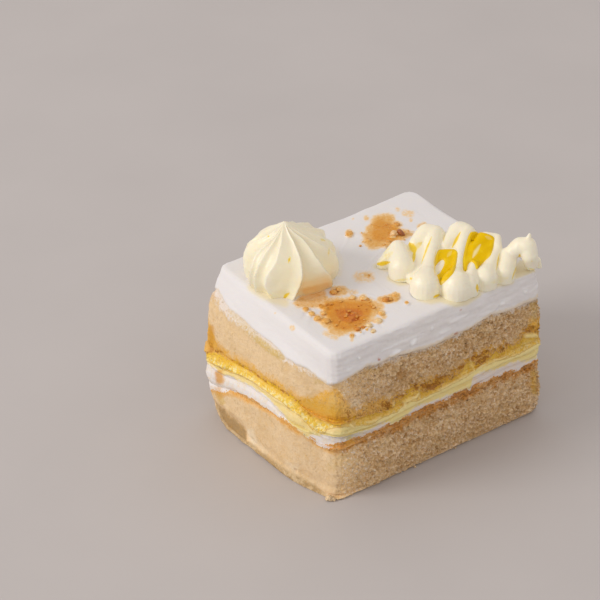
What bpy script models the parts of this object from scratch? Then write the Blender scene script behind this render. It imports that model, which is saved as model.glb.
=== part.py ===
"""A slice of layered cream cake, built the way it is assembled.

From the bottom up: a lower sponge, white cream, pale yellow cream, a fruit filling,
an upper sponge and white icing with praline crumbs. A piped star and a piped ruffle
stand on the icing. X runs along the long face, Y goes back from it and Z is up.
"""

from math import atan2, cos, exp, hypot, pi, radians, sin, tau
from random import Random
from typing import NamedTuple

import bmesh
import bpy
from mathutils import Matrix, Vector, noise

# Driving dimensions, in millimetres
MM = 0.001
LENGTH = 80.0
WIDTH = 60.0
ICING_TOP = 53.0
CORNER_RADIUS = 3.0
GAP = 0.3
# Where the bottom centre of the bounding box lies, seen from the slice's near corner
ORIGIN = Vector((38.69, 29.85, 0.0))

# How finely each wall is divided
LONG_STEPS = 17
SHORT_STEPS = 13
CORNER_STEPS = 3


class Swell(NamedTuple):
    """A rise or a dip of a seam, at a distance round the slice from its near corner."""
    at: float
    rise: float
    reach: float


class Seam(NamedTuple):
    """The surface between two layers: its level, and how it wanders along the walls."""
    level: float
    wander: float
    phase: float
    swells: tuple = ()


BASE = Seam(0.0, 0.0, 0.0)
LOWER_SPONGE_TOP = Seam(19.1, 0.25, 0.4, (
    Swell(53, 1.2, 3), Swell(60, -0.7, 3), Swell(77, -0.6, 3), Swell(222, -7.0, 12), Swell(262, 2.2, 9),
    Swell(275, -1.4, 3)))
WHITE_CREAM_TOP = Seam(21.4, 0.3, 1.9, (
    Swell(8, 0.8, 6), Swell(33, -1.0, 8), Swell(68, 1.3, 7), Swell(110, 0.9, 10), Swell(180, -0.7, 14),
    Swell(224, -2.2, 8), Swell(250, 2.6, 13), Swell(277, 0.9, 4)))
YELLOW_CREAM_TOP = Seam(24.3, 0.2, 3.1, (
    Swell(17, -1.5, 7), Swell(63, 1.0, 9), Swell(79, 1.3, 4), Swell(227, -2.8, 6), Swell(248, 2.0, 9),
    Swell(263, 2.0, 7), Swell(273, -1.4, 3)))
FILLING_TOP = Seam(27.4, 0.35, 0.9, (
    Swell(6, 0.8, 4), Swell(24, -1.2, 5), Swell(46, 0.9, 8), Swell(72, 0.6, 6), Swell(226, -1.6, 6),
    Swell(244, 1.3, 8), Swell(262, 3.0, 9)))
UPPER_SPONGE_TOP = Seam(43.3, 0.3, 2.2, (
    Swell(11, 2.0, 4), Swell(19, 1.0, 5), Swell(38, -1.0, 8), Swell(60, 0.6, 4), Swell(223, 2.6, 5),
    Swell(233, 1.0, 8), Swell(275.5, -2.0, 4)))

# Outward swell of each wall over its height, as (height, millimetres)
FRONT_PROFILE = ((0, 1.2), (2, 2.3), (9, 2.8), (20, 1.7), (32, 1.9), (43, 0.8), (53, -0.6))
RIGHT_PROFILE = ((0, 1.4), (2, 2.2), (9, 2.4), (20, 1.5), (32, 1.6), (43, 0.9), (53, 0.1))
BACK_PROFILE = ((0, 1.0), (2, 1.8), (10, 2.4), (20, 1.6), (32, 2.0), (43, 1.5), (53, 1.2))
LEFT_PROFILE = ((0, 4.6), (2, 4.6), (10, 4.2), (19, 4.6), (32, 4.0), (42, 3.4), (46, 1.3), (53, 0.3))
LEFT_FADE = 22.0
ICING_TURN_LEFT = 2.4
ICING_TURN_RIGHT = 1.3
ICING_TURN_FROM = 44.0

# Low down, the slice narrows towards its far left corner
TAPER = 3.2
TAPER_FROM = 48.0
TAPER_TOP = 16.0

# The thin bottom skin of the lower sponge stands out, with a torn hollow above it at the left
SKIN_HEIGHT = 1.4
TEAR_TOP = 6.2
TEAR_DEPTH = 1.9
TEAR_ENDS = (38.0, 57.0)
CREASE_DEPTH = 0.5

# The icing is drawn up at the back corner
PEAK_AT = (75.0, 60.5)
PEAK_REACH = 7.0
PEAK_RISE = 1.1

# The piped star
STAR_CENTRE = (15.7, 42.1)
STAR_TIP_SHIFT = (-1.6, 1.2)
STAR_LOBES = 12
STAR_STEPS = 5
STAR_TWIST = radians(20)
STAR_GROOVE = 0.15
STAR_PROFILE = ((0.0, 0.0), (7.0, 0.0), (12.5, 0.0), (13.9, 1.8), (14.6, 4.4), (14.4, 7.0), (13.1, 9.8),
                (11.1, 12.1), (8.7, 14.0), (6.1, 15.7), (3.8, 17.1), (2.1, 18.3), (0.9, 19.3), (0.0, 20.1))


class Bead(NamedTuple):
    """A place on the ruffle's route: where the cream runs, and how thick it is there."""
    x: float
    y: float
    height: float
    radius: float


class Stroke(NamedTuple):
    """One fold of the ruffle: over the back, and down to the blob at the front."""
    top: Bead
    front: Bead


RUFFLE_START = Bead(42.8, 33.6, 1.4, 1.7)
STROKES = (
    Stroke(Bead(47.4, 29.6, 4.4, 3.1), Bead(43.6, 22.8, 2.9, 4.1)),
    Stroke(Bead(58.6, 28.4, 5.8, 4.0), Bead(42.6, 12.6, 3.0, 4.7)),
    Stroke(Bead(66.8, 22.4, 6.4, 4.3), Bead(51.0, 6.6, 3.0, 4.8)),
    Stroke(Bead(71.2, 14.4, 6.4, 3.4), Bead(59.4, 3.6, 2.9, 4.0)),
    Stroke(Bead(72.4, 5.6, 5.0, 3.0), Bead(66.6, 1.8, 2.6, 3.3)),
)
HOOK = (Bead(72.8, 4.4, 5.4, 3.0), Bead(75.8, 4.2, 7.4, 3.1), Bead(76.8, 2.4, 7.8, 2.9),
        Bead(77.4, 1.2, 5.2, 2.8), Bead(78.4, 0.8, 2.3, 2.5))
HOOK_TIP = Bead(76.4, 3.2, 11.6, 0.6)
ARM_SPREAD = 2.3
ARM_RADIUS = 2.6
BED_HEIGHT = 1.2
BED_RADIUS = 2.2
RUFFLE_VOXEL = 0.8
RUFFLE_SHARE = 0.25

# Praline on the icing
CRUMB_SEED = 7
CRUMB_SPREAD = 0.35
CRUMB_SINK = 0.35


class Trail(NamedTuple):
    """A run of praline crumbs from one place on the icing to another, and their radii."""
    start: tuple
    end: tuple
    count: int
    radii: tuple


TRAILS = (
    Trail((8.3, 24.9), (8.8, 16.0), 4, (0.8, 1.15)),
    Trail((13.0, 23.5), (13.3, 21.6), 2, (0.6, 0.6)),
    Trail((23.6, 26.4), (24.9, 24.6), 2, (1.0, 0.8)),
    Trail((30.8, 15.4), (33.9, 14.2), 3, (0.7, 1.0)),
    Trail((34.6, 9.1), (34.6, 9.1), 1, (0.6, 0.6)),
    Trail((25.6, 9.6), (21.5, 6.6), 2, (0.75, 0.75)),
    Trail((16.7, 5.5), (10.4, 4.8), 3, (0.7, 0.8)),
    Trail((18.4, 14.3), (14.3, 11.9), 3, (0.85, 0.95)),
    Trail((45.1, 51.3), (45.1, 51.3), 1, (1.1, 1.1)),
    Trail((60.8, 47.2), (60.8, 47.2), 1, (1.0, 1.0)),
    Trail((51.8, 39.5), (49.8, 38.9), 2, (0.8, 0.7)),
    Trail((48.1, 45.3), (48.1, 45.3), 1, (0.6, 0.6)),
    Trail((35.1, 29.2), (35.1, 29.2), 1, (0.7, 0.7)),
    Trail((57.4, 41.4), (55.2, 42.0), 2, (1.9, 1.25)),
)


def clear_scene():
    """Start from an empty scene."""
    for item in list(bpy.data.objects):
        bpy.data.objects.remove(item, do_unlink=True)


def new_collection(name):
    """A named collection in the scene."""
    collection = bpy.data.collections.new(name)
    bpy.context.scene.collection.children.link(collection)
    return collection


def material(name, color, roughness):
    """A plain surface with the sub-part's own colour."""
    made = bpy.data.materials.new(name)
    made.use_nodes = True
    shader = made.node_tree.nodes["Principled BSDF"]
    shader.inputs["Base Color"].default_value = (*color, 1.0)
    shader.inputs["Roughness"].default_value = roughness
    shader.inputs["Metallic"].default_value = 0.0
    return made


def smooth_step(value):
    """An even rise from 0 to 1."""
    share = min(max(value, 0.0), 1.0)
    return share * share * (3.0 - 2.0 * share)


def along_profile(profile, height):
    """The wall's swell at a height."""
    for (low, first), (high, second) in zip(profile, profile[1:]):
        if height <= high:
            return first + (second - first) * smooth_step((height - low) / (high - low))
    return profile[-1][1]


def unevenness(along, height):
    """A slow waviness of the cut walls, in millimetres."""
    return 0.35 * noise.noise(Vector((along / 9.0, height / 14.0, 3.7)))


def slice_point(x, y, height):
    """Where a point of the plain block lies in the real slice, whose walls swell and lean."""
    front = along_profile(FRONT_PROFILE, height) + unevenness(x, height)
    right = along_profile(RIGHT_PROFILE, height) + unevenness(LENGTH + y, height)
    back = along_profile(BACK_PROFILE, height) + unevenness(3 * LENGTH - x, height)
    left = along_profile(LEFT_PROFILE, height) * smooth_step(0.1 + y / LEFT_FADE)
    left += unevenness(4 * LENGTH - y, height)
    turned = smooth_step((height - ICING_TURN_FROM) / (ICING_TOP - ICING_TURN_FROM))
    left -= ICING_TURN_LEFT * turned * y / WIDTH
    right -= ICING_TURN_RIGHT * turned * smooth_step(2 * y / WIDTH)
    left -= TAPER * smooth_step((y - TAPER_FROM) / (WIDTH - TAPER_FROM)) * (1 - smooth_step(height / TAPER_TOP))
    share_x = x / LENGTH
    share_y = y / WIDTH
    return Vector((x - left * (1 - share_x) + right * share_x, y - front * (1 - share_y) + back * share_y, height))


class Station(NamedTuple):
    """A place on the plain block's outline, its outward direction, and its distance round."""
    x: float
    y: float
    out_x: float
    out_y: float
    around: float


def outline_stations():
    """The rounded rectangle, counter-clockwise from the front face's left end."""
    sides = (((0, 0), (1, 0), LENGTH, LONG_STEPS), ((LENGTH, 0), (0, 1), WIDTH, SHORT_STEPS),
             ((LENGTH, WIDTH), (-1, 0), LENGTH, LONG_STEPS), ((0, WIDTH), (0, -1), WIDTH, SHORT_STEPS))
    stations = []
    before = 0.0
    for (corner_x, corner_y), (run_x, run_y), length, steps in sides:
        out_x, out_y = run_y, -run_x
        for step in range(steps + 1):
            along = CORNER_RADIUS + (length - 2 * CORNER_RADIUS) * step / steps
            stations.append(Station(corner_x + run_x * along, corner_y + run_y * along, out_x, out_y, before + along))
        centre_x = corner_x + run_x * (length - CORNER_RADIUS) - out_x * CORNER_RADIUS
        centre_y = corner_y + run_y * (length - CORNER_RADIUS) - out_y * CORNER_RADIUS
        for step in range(1, CORNER_STEPS):
            turn = pi / 2 * step / CORNER_STEPS
            arc_x = out_x * cos(turn) + run_x * sin(turn)
            arc_y = out_y * cos(turn) + run_y * sin(turn)
            along = length - CORNER_RADIUS + 2 * CORNER_RADIUS * step / CORNER_STEPS
            stations.append(Station(centre_x + arc_x * CORNER_RADIUS, centre_y + arc_y * CORNER_RADIUS,
                                    arc_x, arc_y, before + along))
        before += length
    return stations


STATIONS = outline_stations()
ROUND = 2 * (LENGTH + WIDTH)


def seam_height(seam, around, share):
    """A seam's height at a distance round the slice; it lies level inside."""
    turn = tau * around / ROUND
    height = seam.wander * (sin(9 * turn + seam.phase) + 0.7 * sin(17 * turn + 2.3 * seam.phase))
    for swell in seam.swells:
        away = abs(around - swell.at)
        away = min(away, ROUND - away)
        height += swell.rise * exp(-(away / swell.reach) ** 2)
    return seam.level + height * smooth_step((share - 0.8) / 0.2)


class Layer(NamedTuple):
    """One layer: its seams, its wall's rings from bottom to top, and how far each stands out."""
    name: str
    floor: Seam
    roof: Seam
    rings: tuple
    insets: tuple
    color: tuple
    roughness: float


LAYERS = (
    Layer("lower_sponge", BASE, LOWER_SPONGE_TOP,
          ((0.0, -0.4), (0.035, 0.3), (0.085, 0.1), (0.19, 0.0), (0.32, 0.0), (0.5, 0.2), (0.74, 0.2),
           (0.93, 0.1), (1.0, -0.5)), (0.05, 0.15), (0.66, 0.47, 0.27), 0.9),
    Layer("white_cream", LOWER_SPONGE_TOP, WHITE_CREAM_TOP,
          ((0.0, -0.4), (0.3, 0.4), (0.7, 0.4), (1.0, -0.3)), (0.05, 0.15), (0.86, 0.84, 0.78), 0.45),
    Layer("yellow_cream", WHITE_CREAM_TOP, YELLOW_CREAM_TOP,
          ((0.0, -0.3), (0.35, 0.5), (0.7, 0.4), (1.0, -0.4)), (0.05, 0.15), (0.88, 0.74, 0.36), 0.45),
    Layer("fruit_filling", YELLOW_CREAM_TOP, FILLING_TOP,
          ((0.0, -0.2), (0.25, 0.9), (0.6, 0.6), (1.0, -0.3)), (0.05, 0.15), (0.80, 0.44, 0.05), 0.4),
    Layer("upper_sponge", FILLING_TOP, UPPER_SPONGE_TOP,
          ((0.0, -0.4), (0.07, 0.0), (0.25, 0.1), (0.5, 0.2), (0.75, 0.1), (0.93, 0.0), (1.0, -0.4)),
          (0.05, 0.15), (0.66, 0.47, 0.27), 0.9),
    Layer("icing", UPPER_SPONGE_TOP, Seam(ICING_TOP, 0.05, 1.2),
          ((0.0, -0.3), (0.08, 0.35), (0.35, 0.4), (0.62, 0.5), (0.84, 0.5), (0.95, 0.1), (1.0, -0.9)),
          (0.04, 0.14), (0.86, 0.83, 0.82), 0.45),
)


def skin_and_tear(around, height):
    """How far the lower sponge's wall steps in above its bottom skin, torn open at the left."""
    if height < SKIN_HEIGHT or height > TEAR_TOP:
        return 0.0
    y = ROUND - around
    torn = smooth_step((y - TEAR_ENDS[0]) / 2) * smooth_step((TEAR_ENDS[1] - y) / 4)
    crease = CREASE_DEPTH * smooth_step((WIDTH - y) / 8)
    swing = sin(pi * (height - SKIN_HEIGHT) / (TEAR_TOP - SKIN_HEIGHT))
    return swing * (TEAR_DEPTH * torn + crease)


def icing_peak(x, y, height):
    """The lift of the icing at its back corner."""
    away = hypot(x - PEAK_AT[0], y - PEAK_AT[1])
    upper = smooth_step((height - UPPER_SPONGE_TOP.level) / (ICING_TOP - UPPER_SPONGE_TOP.level))
    return PEAK_RISE * upper * exp(-(away / PEAK_REACH) ** 2)


def station_number(vertex):
    """Which station a drum's vertex stands for."""
    turn = atan2(vertex.co.y, vertex.co.x) % tau
    return round(turn / tau * len(STATIONS)) % len(STATIONS)


def split_caps(shape):
    """Cut each cap's quads the same way round, so that two layers' seams match face for face."""
    strips = [face for face in shape.faces if len(face.verts) == 4 and abs(face.normal.z) > 0.5]
    for face in strips:
        corners = sorted(face.verts, key=lambda vertex: hypot(vertex.co.x, vertex.co.y))
        numbers = sorted({station_number(vertex) for vertex in corners})
        first = numbers[-1] if numbers[0] + 1 != numbers[-1] else numbers[0]
        inner = next(vertex for vertex in corners[:2] if station_number(vertex) == first)
        outer = next(vertex for vertex in corners[2:] if station_number(vertex) != first)
        bmesh.utils.face_split(face, inner, outer)


def layer_drum(layer):
    """A drum with its wall cut into rings and its caps inset, for a layer to be set out on."""
    shape = bmesh.new()
    bmesh.ops.create_cone(shape, cap_ends=True, segments=len(STATIONS), radius1=1.0, radius2=1.0, depth=1.0)
    uprights = [edge for edge in shape.edges if abs(edge.verts[0].co.z - edge.verts[1].co.z) > 0.5]
    bmesh.ops.subdivide_edges(shape, edges=uprights, cuts=len(layer.rings) - 2, use_grid_fill=True)
    for inset in layer.insets:
        caps = [face for face in shape.faces if len(face.verts) == len(STATIONS)]
        bmesh.ops.inset_individual(shape, faces=caps, thickness=inset)
    shape.normal_update()
    split_caps(shape)
    return shape


def layer_mesh(layer):
    """The layer's drum, with every vertex moved to its place in the slice."""
    shape = layer_drum(layer)
    for vertex in shape.verts:
        station = STATIONS[station_number(vertex)]
        share = min(hypot(vertex.co.x, vertex.co.y), 1.0)
        ring = round((vertex.co.z + 0.5) * (len(layer.rings) - 1))
        rise, proud = layer.rings[ring]
        bottom = seam_height(layer.floor, station.around, share)
        top = seam_height(layer.roof, station.around, share) - GAP
        if layer.name == "icing":
            top += GAP
        height = bottom + (top - bottom) * rise
        if layer.name == "lower_sponge":
            proud -= skin_and_tear(station.around, height)
        x = station.x + station.out_x * proud
        y = station.y + station.out_y * proud
        x = LENGTH / 2 + (x - LENGTH / 2) * share
        y = WIDTH / 2 + (y - WIDTH / 2) * share
        placed = slice_point(x, y, height)
        if layer.name == "icing":
            placed.z += icing_peak(x, y, height)
        vertex.co = (placed - ORIGIN) * MM
    mesh = bpy.data.meshes.new(layer.name)
    shape.to_mesh(mesh)
    shape.free()
    return mesh


def finish_part(name, mesh, collection, color, roughness):
    """Put a mesh in the cake as a named object with its own material."""
    part = bpy.data.objects.new(name, mesh)
    collection.objects.link(part)
    mesh.materials.clear()
    mesh.materials.append(material(name, color, roughness))
    mesh.shade_smooth()
    mesh.set_sharp_from_angle(angle=radians(40))
    return part


def evaluated_mesh(part):
    """The mesh that an object's modifiers make."""
    graph = bpy.context.evaluated_depsgraph_get()
    graph.update()
    return bpy.data.meshes.new_from_object(part.evaluated_get(graph))


def crumb(place, radius, draw):
    """One praline crumb, a rough lump sunk a little into the icing."""
    shape = bmesh.new()
    bmesh.ops.create_icosphere(shape, subdivisions=1, radius=radius)
    for vertex in shape.verts:
        vertex.co *= draw.uniform(0.8, 1.15)
    bmesh.ops.rotate(shape, verts=shape.verts, matrix=Matrix.Rotation(draw.uniform(0, tau), 3, "Z"))
    bmesh.ops.scale(shape, verts=shape.verts, vec=(1.15, 0.95, 0.75))
    bmesh.ops.translate(shape, verts=shape.verts, vec=place)
    bmesh.ops.scale(shape, verts=shape.verts, vec=(MM, MM, MM))
    mesh = bpy.data.meshes.new("crumb")
    shape.to_mesh(mesh)
    shape.free()
    return bpy.data.objects.new("crumb", mesh)


def crumb_places(draw):
    """Where the crumbs of each trail lie, and how large they are."""
    for trail in TRAILS:
        for number in range(trail.count):
            share = number / max(trail.count - 1, 1)
            spread = CRUMB_SPREAD if trail.count > 2 else 0.0
            x = trail.start[0] + (trail.end[0] - trail.start[0]) * share + draw.uniform(-spread, spread)
            y = trail.start[1] + (trail.end[1] - trail.start[1]) * share + draw.uniform(-spread, spread)
            yield x, y, trail.radii[0] + (trail.radii[1] - trail.radii[0]) * share


def scatter_crumbs(icing):
    """Fuse the praline crumbs to the icing with one union."""
    draw = Random(CRUMB_SEED)
    crumbs = new_collection("crumbs")
    for x, y, radius in crumb_places(draw):
        place = Vector((x, y, ICING_TOP + radius * CRUMB_SINK)) - ORIGIN
        crumbs.objects.link(crumb(place, radius, draw))
    fuse = icing.modifiers.new("praline", "BOOLEAN")
    fuse.operation = "UNION"
    fuse.operand_type = "COLLECTION"
    fuse.collection = crumbs
    fused = evaluated_mesh(icing)
    icing.modifiers.remove(fuse)
    icing.data = fused
    for lump in list(crumbs.objects):
        bpy.data.objects.remove(lump, do_unlink=True)
    bpy.data.collections.remove(crumbs)


def star_mesh():
    """A piped star: a globe set out on the profile, with lobes that turn a little on the way up."""
    shape = bmesh.new()
    rows = len(STAR_PROFILE) - 1
    bmesh.ops.create_uvsphere(shape, u_segments=STAR_LOBES * STAR_STEPS, v_segments=rows, radius=1.0)
    tallest = STAR_PROFILE[-1][1]
    for vertex in shape.verts:
        row = round((pi / 2 + atan2(vertex.co.z, hypot(vertex.co.x, vertex.co.y))) / pi * rows)
        radius, height = STAR_PROFILE[row]
        turn = atan2(vertex.co.y, vertex.co.x)
        rise = height / tallest
        groove = STAR_GROOVE * smooth_step(radius / 4.0) * abs(sin(turn * STAR_LOBES / 2)) ** 1.4
        radius *= 1.0 + STAR_GROOVE / 3 - groove
        turn += STAR_TWIST * rise
        x = STAR_CENTRE[0] + radius * cos(turn) + STAR_TIP_SHIFT[0] * rise ** 2
        y = STAR_CENTRE[1] + radius * sin(turn) + STAR_TIP_SHIFT[1] * rise ** 2
        vertex.co = (Vector((x, y, ICING_TOP + GAP + height)) - ORIGIN) * MM
    mesh = bpy.data.meshes.new("piped_star")
    shape.to_mesh(mesh)
    shape.free()
    return mesh


def between(first, second, share, aside):
    """A bead on the arm between two others, moved aside along the row of folds."""
    x = first.x + (second.x - first.x) * share
    y = first.y + (second.y - first.y) * share
    height = first.height + (second.height - first.height) * share ** 0.8
    length = hypot(second.x - first.x, second.y - first.y)
    side_x = (second.y - first.y) / length
    side_y = -(second.x - first.x) / length
    return Bead(x + side_x * aside, y + side_y * aside, height, ARM_RADIUS)


def ruffle_route():
    """The ruffle's beads in the order in which they are piped."""
    route = [RUFFLE_START]
    front = None
    for stroke in STROKES:
        if front:
            route.append(between(front, stroke.top, 0.45, -ARM_SPREAD / 2))
            route.append(between(front, stroke.top, 0.8, -ARM_SPREAD))
        route.append(stroke.top)
        route.append(between(stroke.front, stroke.top, 0.75, ARM_SPREAD))
        route.append(between(stroke.front, stroke.top, 0.4, ARM_SPREAD / 2))
        route.append(stroke.front)
        front = stroke.front
    return route + list(HOOK)


def add_hull(shape, balls):
    """The hull round some balls of cream, each a bead and its height over the icing."""
    hull = bmesh.new()
    for bead, height in balls:
        place = (Vector((bead.x, bead.y, ICING_TOP + height)) - ORIGIN) * MM
        bmesh.ops.create_uvsphere(hull, u_segments=16, v_segments=8, radius=bead.radius * MM,
                                  matrix=Matrix.Translation(place))
    made = bmesh.ops.convex_hull(hull, input=hull.verts)
    loose = [item for item in made["geom_interior"] if isinstance(item, bmesh.types.BMVert)]
    bmesh.ops.delete(hull, geom=loose, context="VERTS")
    piece = bpy.data.meshes.new("hull")
    hull.to_mesh(piece)
    hull.free()
    shape.from_mesh(piece)
    bpy.data.meshes.remove(piece)


def add_span(shape, first, second, grounded):
    """The cream between two beads, which goes down to the icing if grounded."""
    balls = [(first, first.height), (second, second.height)]
    if grounded:
        balls += [(first, min(first.height, 1.0)), (second, min(second.height, 1.0))]
    add_hull(shape, balls)


def icing_slab(cutters):
    """A slab up to just above the icing, which cuts the ruffle's underside flat."""
    shape = bmesh.new()
    bmesh.ops.create_cube(shape, size=1.0)
    bmesh.ops.scale(shape, verts=shape.verts, vec=(2 * LENGTH * MM, 2 * WIDTH * MM, 20 * MM))
    bmesh.ops.translate(shape, verts=shape.verts, vec=(0, 0, (ICING_TOP + GAP - 10) * MM))
    mesh = bpy.data.meshes.new("icing_slab")
    shape.to_mesh(mesh)
    shape.free()
    slab = bpy.data.objects.new("icing_slab", mesh)
    cutters.objects.link(slab)
    slab.hide_render = True
    slab.display_type = "WIRE"
    return slab


def ruffle_mesh():
    """The ruffle's cream before it runs together: a hulled span between each two beads."""
    shape = bmesh.new()
    route = ruffle_route()
    hook_starts = len(route) - len(HOOK) + 1
    for number, (first, second) in enumerate(zip(route, route[1:]), start=1):
        add_span(shape, first, second, grounded=number < hook_starts)
    add_span(shape, HOOK[2], HOOK_TIP, grounded=False)
    for stroke, following in zip(STROKES, STROKES[1:]):
        corners = (stroke.top, stroke.front, following.top, following.front)
        add_hull(shape, [(Bead(bead.x, bead.y, 0.0, BED_RADIUS), BED_HEIGHT) for bead in corners])
    mesh = bpy.data.meshes.new("piped_ruffle")
    shape.to_mesh(mesh)
    shape.free()
    return mesh


def add_ruffle(cake, cutters):
    """The ruffle, run together into one body and cut flat where it lies on the icing."""
    ruffle = finish_part("piped_ruffle", ruffle_mesh(), cake, (0.90, 0.85, 0.62), 0.4)
    melt = ruffle.modifiers.new("run together", "REMESH")
    melt.mode = "VOXEL"
    melt.voxel_size = RUFFLE_VOXEL * MM
    melt.use_smooth_shade = True
    soften = ruffle.modifiers.new("soften", "SMOOTH")
    soften.factor = 0.5
    soften.iterations = 2
    thin_out = ruffle.modifiers.new("fewer faces", "DECIMATE")
    thin_out.ratio = RUFFLE_SHARE
    level = ruffle.modifiers.new("flat underside", "BOOLEAN")
    level.operation = "DIFFERENCE"
    level.object = icing_slab(cutters)


def build_cake():
    """Make every part of the slice."""
    clear_scene()
    cake = new_collection("cream_slice")
    cutters = new_collection("cutters")
    for layer in LAYERS:
        part = finish_part(layer.name, layer_mesh(layer), cake, layer.color, layer.roughness)
        if layer.name == "icing":
            scatter_crumbs(part)
    finish_part("piped_star", star_mesh(), cake, (0.90, 0.85, 0.62), 0.4)
    add_ruffle(cake, cutters)


build_cake()
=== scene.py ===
"""The looks of a slice of layered cream cake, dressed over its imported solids.

Two cut sponges hold white cream, pale yellow cream and a fruit filling. White icing lies
on top with praline crumbs in their syrup, a piped star, and a piped ruffle with yellow
glaze in its folds. Lengths named here are millimetres, and places are measured from the
slice's near corner: X along the long front face, Y back from it, Z up.
"""

from contextlib import contextmanager
from functools import cache
from math import cos, hypot, pi, radians, sin, tau
from random import Random
from typing import NamedTuple

import bmesh
import bpy
import numpy as np
from bpy.props import FloatProperty, FloatVectorProperty, PointerProperty
from mathutils import Matrix, Vector, noise


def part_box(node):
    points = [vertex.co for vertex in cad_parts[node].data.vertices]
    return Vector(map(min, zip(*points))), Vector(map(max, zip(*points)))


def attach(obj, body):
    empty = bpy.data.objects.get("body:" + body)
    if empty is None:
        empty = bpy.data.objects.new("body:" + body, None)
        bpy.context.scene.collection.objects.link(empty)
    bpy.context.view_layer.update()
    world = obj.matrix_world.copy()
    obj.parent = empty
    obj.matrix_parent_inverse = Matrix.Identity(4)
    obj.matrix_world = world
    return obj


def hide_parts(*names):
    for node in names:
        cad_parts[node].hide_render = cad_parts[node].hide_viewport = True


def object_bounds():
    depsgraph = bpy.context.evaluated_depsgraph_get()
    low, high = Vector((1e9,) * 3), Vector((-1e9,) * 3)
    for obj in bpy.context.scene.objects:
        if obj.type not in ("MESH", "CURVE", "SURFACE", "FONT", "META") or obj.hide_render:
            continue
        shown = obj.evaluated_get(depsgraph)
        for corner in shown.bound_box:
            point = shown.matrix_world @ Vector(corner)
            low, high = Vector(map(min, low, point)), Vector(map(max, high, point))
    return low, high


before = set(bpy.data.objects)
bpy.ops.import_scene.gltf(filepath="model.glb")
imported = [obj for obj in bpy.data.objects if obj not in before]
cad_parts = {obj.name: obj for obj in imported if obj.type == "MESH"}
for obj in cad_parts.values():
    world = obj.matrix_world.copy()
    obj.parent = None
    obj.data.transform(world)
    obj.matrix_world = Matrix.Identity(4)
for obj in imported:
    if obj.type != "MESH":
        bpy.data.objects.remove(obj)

bl_info = {
    "name": "Cream Slice",
    "version": (1, 0, 0),
    "blender": (4, 5, 0),
    "location": "3D View > Sidebar > Cream Slice",
    "description": "Dresses the solids of a layered cream slice",
    "category": "Add Mesh",
}

MM = 0.001
BODY = "root"
CAD_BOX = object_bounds()

# The slice's near bottom corner, and the plain block that its walls swell from
NEAR_CORNER = np.array((-38.69, -29.85, 0.0))
LENGTH = 80.0
WIDTH = 60.0
ICING_TOP = 53.0

# The camera's place, direction and lens
CAMERA_PLACE = (-380.82, -473.12, 433.60)
CAMERA_AZIMUTH = radians(-36.65)
CAMERA_ELEVATION = radians(32.82)
SENSOR = 36.0
LENS = 139.47
# The photograph's side, in whose pixels the marks and outlines below are given
PICTURE = 600
PICTURE_SCALE = PICTURE * LENS / SENSOR
# How many of those pixels a millimetre of the slice spans
PIXELS_PER_MM = 2.9

# Further in from the walls than this a layer is hidden, and this share of its faces is kept there
HIDDEN_INSET = 2.4
HIDDEN_KEPT = 0.04
# The upright part of a normal over which a face counts as a top or an underside, and as level
FLAT = 0.6
LEVEL = 0.8
# The steps that a vertex group's weights come in
WEIGHT_STEPS = 10


# ---------------------------------------------------------------- what a user would change

def tint(name, description, default):
    """A property that holds a colour."""
    return FloatVectorProperty(name=name, description=description, default=default, subtype="COLOR")


class SpongeLook(bpy.types.PropertyGroup):
    """The two cut sponges."""
    grid: FloatProperty(name="Grid", description="Distance between the points of the cut surface",
                        default=0.31 * MM, unit="LENGTH", precision=5)
    pore: FloatProperty(name="Pore size", description="Typical width of a pore in the crumb",
                        default=0.95 * MM, unit="LENGTH", precision=5)
    depth: FloatProperty(name="Pore depth", description="How deep the pores of the cut faces are",
                         default=0.75 * MM, unit="LENGTH", precision=5)
    crumb: tint("Crumb", "Colour of the crumb between its pores", (0.89, 0.67, 0.41))
    # The pores' colour is painted shade, laid on the deeper a point lies in a pore, hole or tear
    pores: tint("Pores", "Colour deep in the pores", (0.52, 0.28, 0.09))
    crust: tint("Crust", "Colour of the browned crust along the cream", (0.70, 0.30, 0.045))
    crust_dark: tint("Dark crust", "Colour of the crust where it browned most", (0.40, 0.14, 0.015))
    soaked: tint("Soaked", "Colour of the crumb that fruit syrup has soaked", (0.74, 0.40, 0.06))
    soaked_dark: tint("Deeply soaked", "Colour of the crumb that is soaked most", (0.42, 0.16, 0.02))
    skin: tint("Skin", "Colour of the baked skin along the bottom", (0.45, 0.30, 0.14))


class CreamLook(bpy.types.PropertyGroup):
    """The creams, the filling and the icing."""
    white: tint("White cream", "Colour of the white cream and the icing", (0.82, 0.795, 0.79))
    pale: tint("Pale yellow cream", "Colour of the yellow cream layer", (0.90, 0.70, 0.28))
    fruit: tint("Fruit filling", "Colour of the fruit filling", (0.94, 0.64, 0.08))
    fruit_deep: tint("Deep filling", "Colour of the filling where it is thick", (0.86, 0.51, 0.02))
    piped: tint("Piped cream", "Colour of the star and the ruffle", (0.99, 0.93, 0.75))
    film: tint("Cream film", "Colour of the thin cream round the piping", (0.86, 0.76, 0.48))
    # Also the colour of a stroke of painted shade on the ruffle
    yolk: tint("Yellow veins", "Colour of the yellow caught in the piping", (0.95, 0.66, 0.02))
    glaze: tint("Glaze", "Colour of the glaze in the ruffle's folds", (0.86, 0.54, 0.0))


class PralineLook(bpy.types.PropertyGroup):
    """The praline and its syrup."""
    syrup_thin: tint("Thin syrup", "Colour of the stain's edge", (0.89, 0.62, 0.33))
    syrup: tint("Syrup", "Colour of the stain", (0.74, 0.325, 0.045))
    syrup_dark: tint("Dark syrup", "Colour of the stain's wet middle", (0.65, 0.205, 0.015))
    crumb: tint("Praline", "Colour of the praline crumbs", (0.90, 0.49, 0.13))
    nut: tint("Nut", "Colour of the nut's skin side", (0.36, 0.11, 0.025))


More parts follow.
